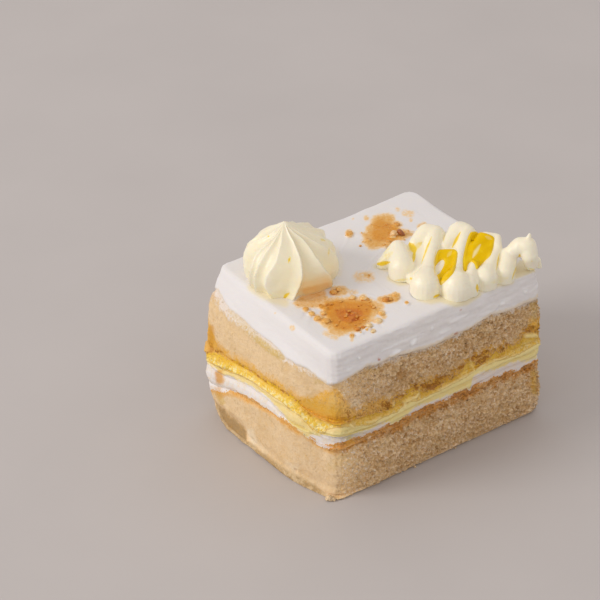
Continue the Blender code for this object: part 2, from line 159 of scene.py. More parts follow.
class StageLook(bpy.types.PropertyGroup):
    """The floor and the lights."""
    floor: tint("Floor", "Colour of the floor", (0.56, 0.525, 0.51))
    sky: FloatProperty(name="Sky", description="Brightness of the light from all round",
                       default=0.70, min=0.0)
    key: FloatProperty(name="Key light", description="Power of the soft light from the left",
                       default=15.6, unit="POWER")


# ---------------------------------------------------------------- materials

class Wire:
    """A socket's output, on which arithmetic adds Math nodes."""

    def __init__(self, finish, socket):
        self.finish = finish
        self.socket = socket

    def math(self, operation, first, second, clamp=False):
        """A Math node on two values."""
        return self.finish.node("ShaderNodeMath", {"operation": operation, "use_clamp": clamp},
                                {0: first, 1: second})

    def __add__(self, other):
        return self.math("ADD", self, other)

    def __sub__(self, other):
        return self.math("SUBTRACT", self, other)

    def __rsub__(self, other):
        return self.math("SUBTRACT", other, self)

    def __mul__(self, other):
        return self.math("MULTIPLY", self, other)

    __radd__ = __add__
    __rmul__ = __mul__

    def clamped(self):
        """The value kept between 0 and 1."""
        return self.math("ADD", self, 0.0, clamp=True)

    def above(self, low, high):
        """0 up to the low value, and 1 from the high one."""
        return ((self - low) * (1.0 / (high - low))).clamped()


# How far red, green and blue light spread under a surface, as shares of its depth
LIGHT_SPREAD = (1.0, 0.75, 0.45)


class Finish:
    """A material in the making, with its Principled shader."""

    def __init__(self, name, roughness, subsurface=0.0, coat=0.0, coat_roughness=0.1, depth=1.5,
                 specular=0.5):
        self.material = bpy.data.materials.new(name)
        self.material.use_nodes = True
        self.tree = self.material.node_tree
        self.shader = self.tree.nodes["Principled BSDF"]
        everywhere = {
            "Roughness": roughness, "Specular IOR Level": specular, "Coat Weight": coat,
            "Coat Roughness": coat_roughness, "Subsurface Weight": subsurface,
            "Subsurface Scale": depth * MM, "Subsurface Radius": LIGHT_SPREAD}
        for socket, value in everywhere.items():
            self.shader.inputs[socket].default_value = value
        self.coordinates = self.node("ShaderNodeTexCoord", output="Object")

    def node(self, kind, settings=None, sockets=None, output=0):
        """Add a node: its settings first, then its sockets' values or links."""
        made = self.tree.nodes.new(kind)
        for key, value in (settings or {}).items():
            if key == "stops":
                self.set_stops(made.color_ramp, value)
            else:
                setattr(made, key, value)
        for key, value in (sockets or {}).items():
            if isinstance(value, Wire):
                self.tree.links.new(value.socket, made.inputs[key])
            else:
                made.inputs[key].default_value = value
        return Wire(self, made.outputs[output])

    @staticmethod
    def set_stops(ramp, stops):
        """Give a colour ramp its stops, as (position, colour)."""
        while len(ramp.elements) < len(stops):
            ramp.elements.new(1.0)
        for element, (position, color) in zip(ramp.elements, stops):
            element.position = position
            element.color = (*color, 1.0)

    def cloud(self, size, detail=2.0, distortion=0.0, stretch=None):
        """Soft noise whose features are about this many millimetres wide."""
        place = self.coordinates
        if stretch:
            place = self.node("ShaderNodeMapping", None, {"Vector": place, "Scale": stretch})
        return self.node("ShaderNodeTexNoise", None, {
            "Vector": place, "Scale": 1.0 / (size * MM), "Detail": detail, "Distortion": distortion})

    def cells(self, size):
        """Distance to the nearest of scattered points, this many millimetres apart."""
        return self.node("ShaderNodeTexVoronoi", None, {
            "Vector": self.coordinates, "Scale": 1.0 / (size * MM)}, "Distance")

    def painted(self, name):
        """A value painted on the piece's points."""
        return self.node("ShaderNodeAttribute", {"attribute_name": name}, None, "Fac")

    def mix(self, share, first, second):
        """A colour between two others."""
        colors = {"Factor": share}
        for key, color in ((6, first), (7, second)):
            colors[key] = color if isinstance(color, Wire) else (*color, 1.0)
        return self.node("ShaderNodeMix", {"data_type": "RGBA"}, colors, 2)

    def coated(self, color, *coats):
        """A colour with others laid over it in turn, each given as (how much, colour)."""
        for share, coat in coats:
            color = self.mix(share, color, coat)
        return color

    def ramp(self, value, stops):
        """A colour read from a ramp."""
        return self.node("ShaderNodeValToRGB", {"stops": stops}, {"Fac": value})

    def surface(self, color, relief=None, height=0.2, coat=None):
        """Link what changes over the surface to the shader; height is the relief's, in millimetres."""
        wires = {"Base Color": color, "Coat Weight": coat}
        if relief is not None:
            wires["Normal"] = self.node("ShaderNodeBump", None, {
                "Height": relief, "Strength": 1.0, "Distance": height * MM})
        for socket, wire in wires.items():
            if wire is not None:
                self.tree.links.new(wire.socket, self.shader.inputs[socket])
        return self.material


def darker(color, share):
    """A colour with less light in it."""
    return tuple(channel * share for channel in color)


# ---------------------------------------------------------------- modelling

def only(piece):
    """Select one object and make it the active one."""
    bpy.ops.object.select_all(action="DESELECT")
    piece.select_set(True)
    bpy.context.view_layer.objects.active = piece


@contextmanager
def editing(piece):
    """Edit mode on one piece."""
    only(piece)
    bpy.ops.object.mode_set(mode="EDIT")
    yield
    bpy.ops.object.mode_set(mode="OBJECT")


def modify(piece, kind, **settings):
    """Give a piece a modifier with its settings, and apply it."""
    modifier = piece.modifiers.new(kind.title(), kind)
    for key, value in settings.items():
        setattr(modifier, key, value)
    only(piece)
    bpy.ops.object.modifier_apply(modifier=modifier.name)


def vectors(items, field):
    """A vector of every item in a mesh's list, as rows of three."""
    flat = np.empty(3 * len(items), np.float32)
    items.foreach_get(field, flat)
    return flat.reshape(-1, 3)


def points(piece):
    """Where a piece's points are, in millimetres from the slice's near corner."""
    return vectors(piece.data.vertices, "co") / MM - NEAR_CORNER


def set_points(piece, places):
    """Move a piece's points, given in millimetres from the near corner, within the solids' box."""
    low, high = (np.array(corner) for corner in CAD_BOX)
    kept = np.clip((places + NEAR_CORNER) * MM, low, high)
    piece.data.vertices.foreach_set("co", kept.astype(np.float32).ravel())
    piece.data.update()


def keep_in_box(piece):
    """Bring points that stand out of the solids' box back to its sides."""
    set_points(piece, points(piece))


def directions(piece):
    """The unit normals of a piece's points."""
    return vectors(piece.data.vertex_normals, "vector")


def face_facts(piece):
    """The centres of a piece's faces in millimetres from the near corner, and their normals."""
    faces = piece.data.polygons
    return vectors(faces, "center") / MM - NEAR_CORNER, vectors(faces, "normal")


def camera_axes():
    """The camera's right, its up, and the way back to it."""
    level = cos(CAMERA_ELEVATION)
    right = np.array((cos(CAMERA_AZIMUTH), sin(CAMERA_AZIMUTH), 0.0))
    back = np.array((sin(CAMERA_AZIMUTH) * level, -cos(CAMERA_AZIMUTH) * level, sin(CAMERA_ELEVATION)))
    return right, np.cross(back, right), back


def shown_share(outward):
    """How much of each point's surface the photograph shows, from its normals."""
    return smooth_step(outward @ camera_axes()[2] * 4)


def picture(places):
    """Where places appear in the photograph, in its pixels."""
    right, up, back = camera_axes()
    offset = places + NEAR_CORNER - CAMERA_PLACE
    depth = -offset @ back
    return np.stack((PICTURE / 2 + PICTURE_SCALE * (offset @ right) / depth,
                     PICTURE / 2 - PICTURE_SCALE * (offset @ up) / depth), axis=1)


# Stands in for a length of zero that something is divided by
TINY = 1e-9


def from_stretch(seen, start, end):
    """How far pixels lie from a straight stretch, and how far along it their nearest point is."""
    start, end = np.array(start, float), np.array(end, float)
    run = end - start
    share = np.clip((seen - start) @ run / max(run @ run, TINY), 0.0, 1.0)
    return np.linalg.norm(seen - start - share[:, None] * run, axis=1), share


def rounded(outline):
    """An outline with its corners cut off twice."""
    for _ in range(2):
        corners = [np.array(corner, float) for corner in outline]
        outline = []
        for corner, following in zip(corners, corners[1:] + corners[:1]):
            outline += [tuple(0.75 * corner + 0.25 * following), tuple(0.25 * corner + 0.75 * following)]
    return tuple(outline)


def inside(seen, outline):
    """How many pixels deep inside an outline each place lies; negative is outside."""
    nearest = np.full(len(seen), np.inf)
    within = np.zeros(len(seen), bool)
    for start, end in zip(outline, outline[1:] + outline[:1]):
        nearest = np.minimum(nearest, from_stretch(seen, start, end)[0])
        crosses = (start[1] > seen[:, 1]) != (end[1] > seen[:, 1])
        rise = end[1] - start[1] or TINY
        within ^= crosses & (seen[:, 0] < (end[0] - start[0]) * (seen[:, 1] - start[1]) / rise + start[0])
    return np.where(within, nearest, -nearest)


def covered(seen, outline, edge):
    """How much an outline covers each place, with an edge this many pixels wide."""
    return smooth_step(inside(seen, outline) / edge + 0.5)


# A stroke of colour has its full strength over this share of its reach, and then fades over this one
STROKE_CORE = 0.35
STROKE_FADE = 1.1


def marked(seen, strokes, tapered=False):
    """How strongly strokes of colour cover each place; tapered strokes grow thin at their ends.

    Each stroke is its reach in pixels, its strength, and the pixels that it runs through.
    """
    cover = np.zeros(len(seen))
    for reach, strength, *course in strokes:
        stretches = list(zip(course, course[1:])) or [course * 2]
        for number, (start, end) in enumerate(stretches):
            away, share = from_stretch(seen, start, end)
            if tapered and len(course) > 1:
                away /= 0.25 + 0.9 * np.sin(pi * (number + share) / len(stretches))
            away /= reach
            cover = np.maximum(cover, strength * (1.0 - smooth_step((away - STROKE_CORE) / STROKE_FADE)))
    return cover


@contextmanager
def editing_faces(piece, chosen):
    """Edit mode on one piece with only the chosen faces selected."""
    bpy.context.tool_settings.mesh_select_mode = (False, False, True)
    mesh = piece.data
    mesh.vertices.foreach_set("select", np.zeros(len(mesh.vertices), bool))
    mesh.edges.foreach_set("select", np.zeros(len(mesh.edges), bool))
    mesh.polygons.foreach_set("select", chosen)
    with editing(piece):
        yield


def smooth_step(value):
    """An even rise from 0 to 1, for numbers or arrays."""
    share = np.clip(value, 0.0, 1.0)
    return share * share * (3.0 - 2.0 * share)


def paint(piece, name, values):
    """Keep a value for each of a piece's points, which a material can read."""
    layer = piece.data.attributes.new(name, "FLOAT", "POINT")
    layer.data.foreach_set("value", np.asarray(values, np.float32))


def weigh(piece, name, weights):
    """A vertex group whose weights come in a few even steps."""
    group = piece.vertex_groups.new(name=name)
    steps = np.rint(np.clip(weights, 0.0, 1.0) * WEIGHT_STEPS).astype(int)
    for step in range(1, WEIGHT_STEPS + 1):
        group.add(np.flatnonzero(steps == step).tolist(), step / WEIGHT_STEPS, "REPLACE")


def grain(kind, size, **settings):
    """A texture for displacing, with features about this many millimetres wide."""
    texture = bpy.data.textures.new(kind.title(), kind)
    texture.noise_scale = size * MM
    for key, value in settings.items():
        setattr(texture, key, value)
    return texture


def roughen(piece, texture, depth, group="", middle=0.5, stretch=None):
    """Displace a piece's surface by a texture, this many millimetres deep.

    The texture's middle level leaves the surface where it is, and stretch lengthens its grain.
    """
    settings = {"texture": texture, "strength": depth * MM, "mid_level": middle, "vertex_group": group}
    if stretch is None:
        modify(piece, "DISPLACE", **settings)
        return
    bpy.ops.object.empty_add(location=(0, 0, 0))
    ruler = bpy.context.object
    ruler.scale = stretch
    bpy.context.view_layer.update()
    modify(piece, "DISPLACE", texture_coords="OBJECT", texture_coords_object=ruler, **settings)
    bpy.data.objects.remove(ruler)


def new_piece(name, mesh):
    """A named object in the scene."""
    piece = bpy.data.objects.new(name, mesh)
    bpy.context.scene.collection.objects.link(piece)
    return piece


def merged_copy(name, node):
    """A copy of a solid, with its loose triangles merged into one skin."""
    piece = new_piece(name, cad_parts[node].data.copy())
    piece.data.materials.clear()
    with editing(piece):
        bpy.ops.mesh.select_all(action="SELECT")
        bpy.ops.mesh.remove_doubles(threshold=0.001 * MM)
        bpy.ops.mesh.customdata_custom_splitnormals_clear()
    return piece


def reach_neighbours(piece, down, up):
    """Carry a layer's underside down and its top up into its neighbours, in millimetres."""
    _, normals = face_facts(piece)
    for chosen, shift in ((normals[:, 2] < -FLAT, -down), (normals[:, 2] > FLAT, up)):
        if shift:
            with editing_faces(piece, chosen):
                bpy.ops.transform.translate(value=(0, 0, shift * MM))


def even_grid(piece, size, keep_top=False):
    """Remesh a layer to an even grid, and leave few faces where it is hidden inside."""
    modify(piece, "REMESH", mode="VOXEL", voxel_size=size)
    centres, normals = face_facts(piece)
    x, y = centres[:, 0], centres[:, 1]
    inset = np.minimum.reduce((x, LENGTH - x, y, WIDTH - y))
    hidden = (np.abs(normals[:, 2]) > LEVEL) & (inset > HIDDEN_INSET)
    if keep_top:
        hidden &= normals[:, 2] < 0
    with editing_faces(piece, hidden):
        bpy.ops.mesh.decimate(ratio=HIDDEN_KEPT)


def finished(piece, slot, material, *nodes):
    """Give a piece its finish, and let it ride with the slice in place of its solids, if it has any."""
    piece.data.materials.clear()
    piece.data.materials.append(material)
    piece.vertex_groups.clear()
    only(piece)
    bpy.ops.object.shade_smooth()
    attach(piece, BODY)
    if nodes:
        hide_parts(*nodes)


# ---------------------------------------------------------------- layers

@cache
def rim_heights(node, upper):
    """The line where a layer's wall meets its top or underside: directions and heights."""
    shape = bmesh.new()
    shape.from_mesh(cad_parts[node].data)
    bmesh.ops.remove_doubles(shape, verts=shape.verts, dist=0.001 * MM)
    shape.normal_update()
    side = 1.0 if upper else -1.0
    low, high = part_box(node)
    rim = {}
    for edge in shape.edges:
        tilts = sorted(side * face.normal.z for face in edge.link_faces)
        beyond_middle = side * (edge.verts[0].co.z - (low.z + high.z) / 2) > 0
        if beyond_middle and tilts[-1] > FLAT > tilts[0] > -FLAT:
            for vertex in edge.verts:
                rim[direction(vertex.co.x / MM, vertex.co.y / MM)] = vertex.co.z / MM
    shape.free()
    turns = sorted(rim)
    return np.array(turns), np.array([rim[turn] for turn in turns])


def direction(x, y):
    """The direction from the slice's middle, as if it were a square."""
    return np.arctan2(y / WIDTH, x / LENGTH)


def over_rim(places, node, upper):
    """How far places lie above the edge of a solid's top or underside, in millimetres."""
    turns = direction(places[:, 0] + NEAR_CORNER[0], places[:, 1] + NEAR_CORNER[1])
    return places[:, 2] - np.interp(turns, *rim_heights(node, upper), period=tau)


def wall_share(piece):
    """How much of each point's surface is wall: 0 on tops and undersides, 1 on walls."""
    return smooth_step((0.85 - np.abs(directions(piece)[:, 2])) / 0.35)


def left_share(piece):
    """How much of each point's surface faces left."""
    return smooth_step((-directions(piece)[:, 0] - 0.4) / 0.4)


# The lines between the layers on the two sides that the photograph shows. Each row gives a
# column of pixels, and then the heights in the picture at which the lines cross it, lowest first.
SEAMS = ("crust_low", "crust_top", "white_top", "yellow_top", "gold_top", "stain_top")
SEAM_ROWS = (
    (208, 391, 388, 364, 361, 352, 322), (214, 393, 390, 367, 364, 352, 338),
    (218, 395, 391, 371, 366, 354, 346), (223, 396, 392.5, 375, 369, 357, 351),
    (230, 395, 391, 377, 372, 360, 356), (238, 398, 392, 380, 374, 362, 359),
    (246, 402, 396, 384, 378, 367, 363), (254, 405, 399, 388, 382, 372, 369),
    (262, 410, 405, 393, 388, 379, 375), (270, 415, 411, 400, 394, 382, 378),
    (278, 420, 416, 409, 399, 388, 383), (286, 428, 421, 418, 406, 394, 390),
    (292, 432, 426, 426, 411, 396, 393), (300, 437, 432, 432, 417, 404, 399),
    (306, 440, 438, 438, 425, 411, 402), (312, 446, 441, 438, 432, 415, 402),
    (320, 452, 448, 436.5, 434, 420, 398), (328, 457, 449, 436.5, 432.5, 423, 395),
    (336, 458, 447, 438, 431, 424, 394), (343, 455, 444, 441, 430.5, 422, 400),
    (350, 452, 443, 440, 429.5, 421, 411), (356, 449, 440, 436, 428.5, 420, 413),
    (362, 446, 437, 433, 427, 418, 410), (368, 442, 434, 431, 425.5, 416, 403),
    (374, 440, 431.5, 427.5, 423, 414, 400), (380, 437, 429.5, 423, 419, 413, 399.5),
    (386, 434, 424.5, 422, 416, 412, 399), (392, 432, 423.5, 423.5, 413.5, 405, 399),
    (398, 430, 421, 421, 411.5, 402, 394.5), (404, 428, 417, 417, 404, 396, 392),
    (410, 425, 415.5, 412, 401, 391.5, 386), (416, 421, 411.5, 406.5, 400.5, 389, 383),
    (420, 419, 410, 404.5, 399, 390, 381), (422, 418, 408.5, 403.5, 398, 394, 381),
    (428, 416, 405, 402, 395.5, 392, 379), (436, 412, 403, 400, 392, 388, 377),
    (444, 407, 400.5, 397, 388, 383, 374), (452, 406, 396, 394, 384, 379, 373),
    (460, 401, 390.5, 390, 380, 373, 364), (466, 400, 389, 389, 376.5, 365, 361.5),
    (470, 398, 390, 388, 374, 362, 360), (473, 396, 384.5, 377.5, 372, 361, 356),
    (476, 394, 384, 375, 369.5, 366, 353), (482, 390, 383.5, 372.5, 366, 364, 350.5),
    (488, 388, 380.5, 370.5, 363, 360, 349.5), (494, 386, 376, 369.5, 361, 354, 349),
    (500, 383, 376, 368, 360, 353, 345.5), (506, 381, 372, 364.5, 358.5, 350, 343),
    (512, 379, 371, 362.5, 356.5, 346, 344), (518, 378, 371.5, 361, 354, 344.5, 341),
    (524, 376, 366, 361.5, 351, 338, 331), (530, 373, 364, 360.5, 348, 334, 324),
    (538, 366, 358, 357, 343, 334, 318),
)
# How far up a wall one row of pixels reaches, in millimetres
MM_PER_ROW = 0.41
# On the other two sides, the edge of a solid that each line follows, and how far above it
SEAM_EDGES = (("lower_sponge", True, -1.4), ("lower_sponge", True, 0.2), ("white_cream", True, 0.0),
              ("yellow_cream", True, 0.0), ("fruit_filling", True, -0.6), ("fruit_filling", True, 1.6))


def paint_seams(piece):
    """Paint how far above each line between the layers a piece's points lie, in millimetres."""
    places = points(piece)
    seen = picture(places)
    shown = np.minimum(places[:, 0], places[:, 1]) < np.minimum(LENGTH - places[:, 0], WIDTH - places[:, 1])
    table = np.array(SEAM_ROWS, float)
    above = {}
    for column, (name, (node, upper, shift)) in enumerate(zip(SEAMS, SEAM_EDGES), 1):
        line = np.interp(seen[:, 0], table[:, 0], table[:, column])
        hidden = over_rim(places, node, upper) - shift
        above[name] = np.where(shown, (line - seen[:, 1]) * MM_PER_ROW, hidden)
        paint(piece, name, above[name])
    return above


def spotted(places, spots):
    """How strongly soft patches cover each place.

    Each patch is where its middle is, how far it reaches, and how strong it is.
    """
    cover = np.zeros(len(places))
    for *middle, reach, strength in spots:
        away = np.linalg.norm(places - middle, axis=1) / reach
        cover = np.maximum(cover, strength * (1.0 - smooth_step(away / 1.6)))
    return cover


# Strokes and patches on the cut sides: syrup that soaked into the crumb, where it and the crust
# are darkest, darker olive crumb, lips of filling that curl out, which also carry a painted
# highlight, and holes torn into the cut faces, which are darkened with painted shade
AMBER_MARKS = (
    (5.5, 1.0, (332, 404), (333, 420)), (10.0, 0.8, (308, 408), (322, 414), (336, 416)),
    (3.4, 1.0, (211, 328), (211, 350)), (3.0, 0.5, (213, 344), (226, 352)),
    (5.0, 0.7, (533, 322), (538, 332)), (5.0, 0.45, (534, 376), (536, 390)),
    (3.4, 0.9, (346, 446), (352, 446)), (4.0, 0.6, (220, 396), (218, 390)),
    (3.0, 0.5, (213, 288), (212, 296)), (4.0, 0.25, (340, 386), (336, 389)),
    (4.6, 1.25, (219, 374), (220, 380)),
)
AMBER_SPOTS = (
    (81.0, 20.0, 33.0, 5.0, 0.8), (81.5, 44.0, 35.0, 4.0, 0.7), (60.0, 61.0, 34.0, 5.0, 0.8),
    (25.0, 61.5, 33.0, 6.0, 0.8),
)
DARK_MARKS = (
    (2.2, 1.0, (328, 421), (344, 423)), (1.8, 0.6, (347, 417), (350, 424)),
    (3.4, 0.9, (384, 404), (392, 408)), (1.6, 0.9, (395, 397), (402, 395.5)),
    (1.6, 0.9, (416, 384), (417, 389)), (3.0, 1.0, (424, 386), (434, 387), (438, 382)),
    (2.4, 0.9, (438, 379), (446, 375)), (2.0, 1.0, (460, 368), (463, 366)),
    (2.6, 0.8, (474, 358), (488, 351)), (2.2, 0.8, (480, 362), (486, 358)),
    (2.0, 0.8, (500, 347), (503, 349)), (1.5, 1.0, (507, 345), (511, 341)),
    (2.2, 0.9, (526, 331), (533, 328)), (2.0, 0.8, (210, 342), (212, 350)),
    (1.4, 0.8, (216, 351), (222, 352)), (1.4, 0.6, (236, 363), (240, 365)),
    (1.3, 0.6, (254, 374), (258, 377)), (1.3, 0.6, (272, 383), (286, 393)),
    (1.3, 0.8, (297, 402), (300, 402)), (1.4, 1.0, (378, 430), (382, 430)),
    (1.3, 1.0, (372, 433), (375, 433)), (1.8, 0.9, (389, 425), (398, 426)),
    (1.8, 0.8, (400, 422), (406, 419)), (2.4, 0.8, (420, 411), (432, 408)),
    (2.4, 0.9, (441, 404), (448, 406)), (3.2, 1.0, (452, 397), (465, 394), (472, 390)),
    (1.8, 0.6, (486, 388), (492, 381)), (2.0, 0.9, (500, 378), (505, 376)),
    (2.4, 0.7, (523, 370), (533, 366)), (1.8, 0.8, (343, 446), (347, 450)),
    (1.6, 0.7, (280, 419), (290, 428)), (1.6, 1.0, (297, 435), (304, 437)),
    (1.6, 1.0, (311, 442), (319, 447)),
)
OLIVE_CRUMB_MARKS = (
    (4.0, 0.9, (256, 338), (272, 351), (281, 357)), (5.0, 0.5, (232, 312), (246, 326), (256, 338)),
    (3.4, 0.5, (316, 384), (334, 385)), (4.0, 0.35, (362, 368), (378, 372)),
    (4.0, 0.6, (534, 304), (536, 330)), (3.6, 0.8, (534, 372), (535, 392)),
    (4.0, 0.8, (219, 395), (222, 402)), (3.0, 0.5, (404, 424), (410, 424)),
    (7.0, 0.4, (330, 470), (342, 462)),
)
LIP_MARKS = (
    (1.5, 1.0, (404, 407), (404, 402), (410, 399), (416, 397), (418, 394)),
    (1.1, 0.4, (418.6, 394), (419, 389)),
    (1.0, 0.9, (438, 390), (447, 385.5), (456, 381), (465, 376), (474, 371)),
    (1.1, 0.45, (471.5, 362), (472, 366), (474, 371)),
    (1.0, 0.9, (477, 369), (484, 365), (491, 361), (500, 359), (505, 357)),
    (1.2, 0.8, (366, 423.5), (374, 421.5), (380, 417.5)), (1.5, 1.0, (349, 428), (351.5, 430)),
    (2.2, 1.0, (526, 336), (535, 335)), (1.2, 0.6, (393, 406), (394, 401)),
)
# How far the lips stand out and how deep the holes go, in millimetres
LIP_RISE = 0.8
HOLE_DEPTH = 1.7
HOLES = (
    (24.7, 0.0, 36.9, 1.9, 1.0), (25.2, 0.0, 35.0, 1.4, 0.8), (9.0, 0.0, 33.5, 0.9, 0.8),
    (47.5, 0.0, 33.5, 0.9, 0.9), (68.5, 0.0, 34.0, 0.9, 0.8), (40.0, 0.0, 16.0, 1.0, 0.7),
    (14.0, 0.0, 11.0, 1.0, 0.7), (61.0, 0.0, 9.0, 1.1, 0.7), (-3.0, 24.0, 5.5, 1.0, 0.8),
    (-3.0, 14.0, 4.5, 0.8, 0.9), (81.5, 33.0, 38.0, 1.3, 0.9), (81.5, 12.0, 10.0, 1.1, 0.8),
    (50.0, 61.5, 37.0, 1.3, 0.9), (20.0, 61.5, 12.0, 1.2, 0.9),
)
# The near upright corner's edge is worn off by this much, over this run of side
CORNER_WORN = 1.9
CORNER_RUN = 8.5
# A step along X and Y together is this many times as long as either
DIAGONAL = 1.414
# Along the front, the crumb is smoother at the near corner: by how much, and how far from it
CORNER_CALM = 0.6
CALM_RUN = 6.0
# How far along the front the near corner's painted light reaches, how far back on the left side the
# far corner's colours start, and over what run they come in
CORNER_LIGHT_RUN = 15.0
FAR_START = 0.8 * WIDTH
FAR_RUN = 6.0
# How deep the part of a layer's wall that reaches over its neighbour is sunk under it, and how
# far beyond its own edge it is sunk whole
SEAM_SUNK = 0.3
SEAM_RUN = 0.35
# Where the baked skin of the bottom ends on the left side, in pixels, and its value elsewhere
NO_SKIN = -9.0
SKIN_LINE = (
    (205, 398), (216, 407), (228, 415), (236, 421), (244, 427), (246, 438), (260, 449), (276, 461),
    (290, 472), (303, 479), (318, 490), (330, 500),
)
# Where a piece of the left side's foot is torn away, how deep it is and how wide its edge is in
# pixels, and light crumb beside it; the torn recess is painted darker, as painted shade
TORN_OUTLINE = (
    (215, 404), (221, 408), (228, 414), (236, 421), (243, 427), (246, 431), (245.5, 441), (240, 438),
    (232, 430), (224, 422), (218, 415),
)
TORN_DEPTH = 0.8
TORN_EDGE = 5.0
BRIGHT_MARKS = (
    (4.0, 0.9, (250, 432), (254, 442)), (2.4, 0.5, (258, 444), (266, 452)),
    (2.6, 0.5, (287, 464), (296, 470)), (3.0, 0.6, (352, 408), (358, 404)),
)


def paint_side(piece, places, outward, left, corner):
    """Paint what a cut side's finish reads, and return where it is torn and where a lip curls out."""
    seen = picture(places)
    shown = shown_share(outward)
    # Painted light: the front is painted lighter near the near corner, where the light wraps round it
    front = np.exp(-(np.maximum(places[:, 0] - 1.0, 0.0) / CORNER_LIGHT_RUN) ** 2)
    near = np.maximum(front * (1.0 - left) * smooth_step(-outward[:, 1] * 2), corner)
    skin = (seen[:, 1] - np.interp(seen[:, 0], *np.transpose(SKIN_LINE))) * MM_PER_ROW
    # Where the foot is torn away, which is also painted darker as shade
    torn = covered(seen, TORN_OUTLINE, TORN_EDGE) * shown
    lip = marked(seen, LIP_MARKS) * shown
    values = {
        "left": left,
        "near": near,
        "far": smooth_step((places[:, 1] - FAR_START) / FAR_RUN) * left,
        "under_icing": -over_rim(places, "upper_sponge", True),
        "skin": np.where(left > 0.3, skin, NO_SKIN),
        "torn": torn,
        "bright": marked(seen, BRIGHT_MARKS) * shown,
        "amber": np.maximum(marked(seen, AMBER_MARKS) * shown, spotted(places, AMBER_SPOTS)),
        "dark": marked(seen, DARK_MARKS) * shown,
        # Strokes of darker olive crumb
        "wet": marked(seen, OLIVE_CRUMB_MARKS) * shown,
        "lip": lip,
    }
    for name, value in values.items():
        paint(piece, name, value)
    return torn, lip


def add_layer(name, node, looks, finish, slot, grid, down, up):
    """A layer of the slice: crumb and cream each with their own relief along its cut sides."""
    piece = merged_copy(name, node)
    reach_neighbours(piece, down, up)
    even_grid(piece, grid * MM)
    above = paint_seams(piece)
    places = points(piece)
    outward = directions(piece)
    walls = wall_share(piece)
    left = left_share(piece)
    corner = CORNER_CALM * np.exp(-(np.maximum(places[:, 0], 0.0) / CALM_RUN) ** 2) * (1.0 - left)
    torn, lip = paint_side(piece, places, outward, left, corner)
    crumb = np.maximum(smooth_step(0.5 - above["crust_top"]), smooth_step(0.5 + above["gold_top"] / 1.2))
    gold = (1.0 - crumb) * smooth_step(0.5 + above["yellow_top"])
    weigh(piece, "walls", walls)
    weigh(piece, "crumb", walls * crumb * (1.0 - 0.85 * left) * (1.0 - corner))
    weigh(piece, "gold", walls * gold * (1.0 - corner))
    weigh(piece, "cream", walls * (1.0 - crumb))
    pore = looks.sponge.pore / MM
    depth = looks.sponge.depth / MM
    roughen(piece, grain("CLOUDS", 5.0, noise_depth=2), 0.8, "walls")
    roughen(piece, grain("VORONOI", pore, noise_intensity=1.5), depth, "crumb", middle=0.75)
    roughen(piece, grain("DISTORTED_NOISE", 0.7 * pore, distortion=1.2), 0.8 * depth, "crumb")
    roughen(piece, grain("DISTORTED_NOISE", 1.1, distortion=1.5), 0.45, "gold")
    roughen(piece, grain("CLOUDS", 2.6, noise_depth=0), 0.15, "cream", stretch=(1.6, 1.6, 1.0))
    after = points(piece) - outward * (HOLE_DEPTH * spotted(places, HOLES) + TORN_DEPTH * torn)[:, None]
    # Painted shade: how deep each point lies in a pore, a hole or the torn foot
    paint(piece, "pit", -np.einsum("ij,ij->i", after - places, outward))
    after += outward * (LIP_RISE * lip)[:, None]
    worn = CORNER_WORN * np.exp(-(np.maximum(places[:, 0] + places[:, 1], 0.0) / CORNER_RUN) ** 2) * walls
    after[:, :2] += (worn / DIAGONAL)[:, None]
    beyond = np.maximum(over_rim(places, node, True), -over_rim(places, node, False))
    after -= outward * (SEAM_SUNK * np.clip(beyond / SEAM_RUN, 0.0, 1.0) * walls)[:, None]
    set_points(piece, after)
    finished(piece, slot, finish.surface(*side_look(finish, looks)), node)


# The crumb's tints, from the painted light at the near corner to the skin's
CORNER_LIGHT_CRUMB = (1.0, 0.73, 0.41)
BROWN_GRIT = (0.60, 0.35, 0.16)
# Pale flecks, partly painted glints on the granules
PALE_FLECK_AND_GLINT = (1.0, 0.87, 0.74)
WARM_BLOTCH = (0.82, 0.50, 0.20)
BRIGHT_CRUMB = (0.98, 0.85, 0.64)
TAN_CRUMB = (0.74, 0.51, 0.25)
CRUMB_BAND_UNDER_ICING = (0.70, 0.48, 0.20)
ICING_TRACE = (0.86, 0.80, 0.76)
OLIVE_CRUMB = (0.66, 0.46, 0.13)
GRAZED_SKIN = (0.74, 0.56, 0.33)


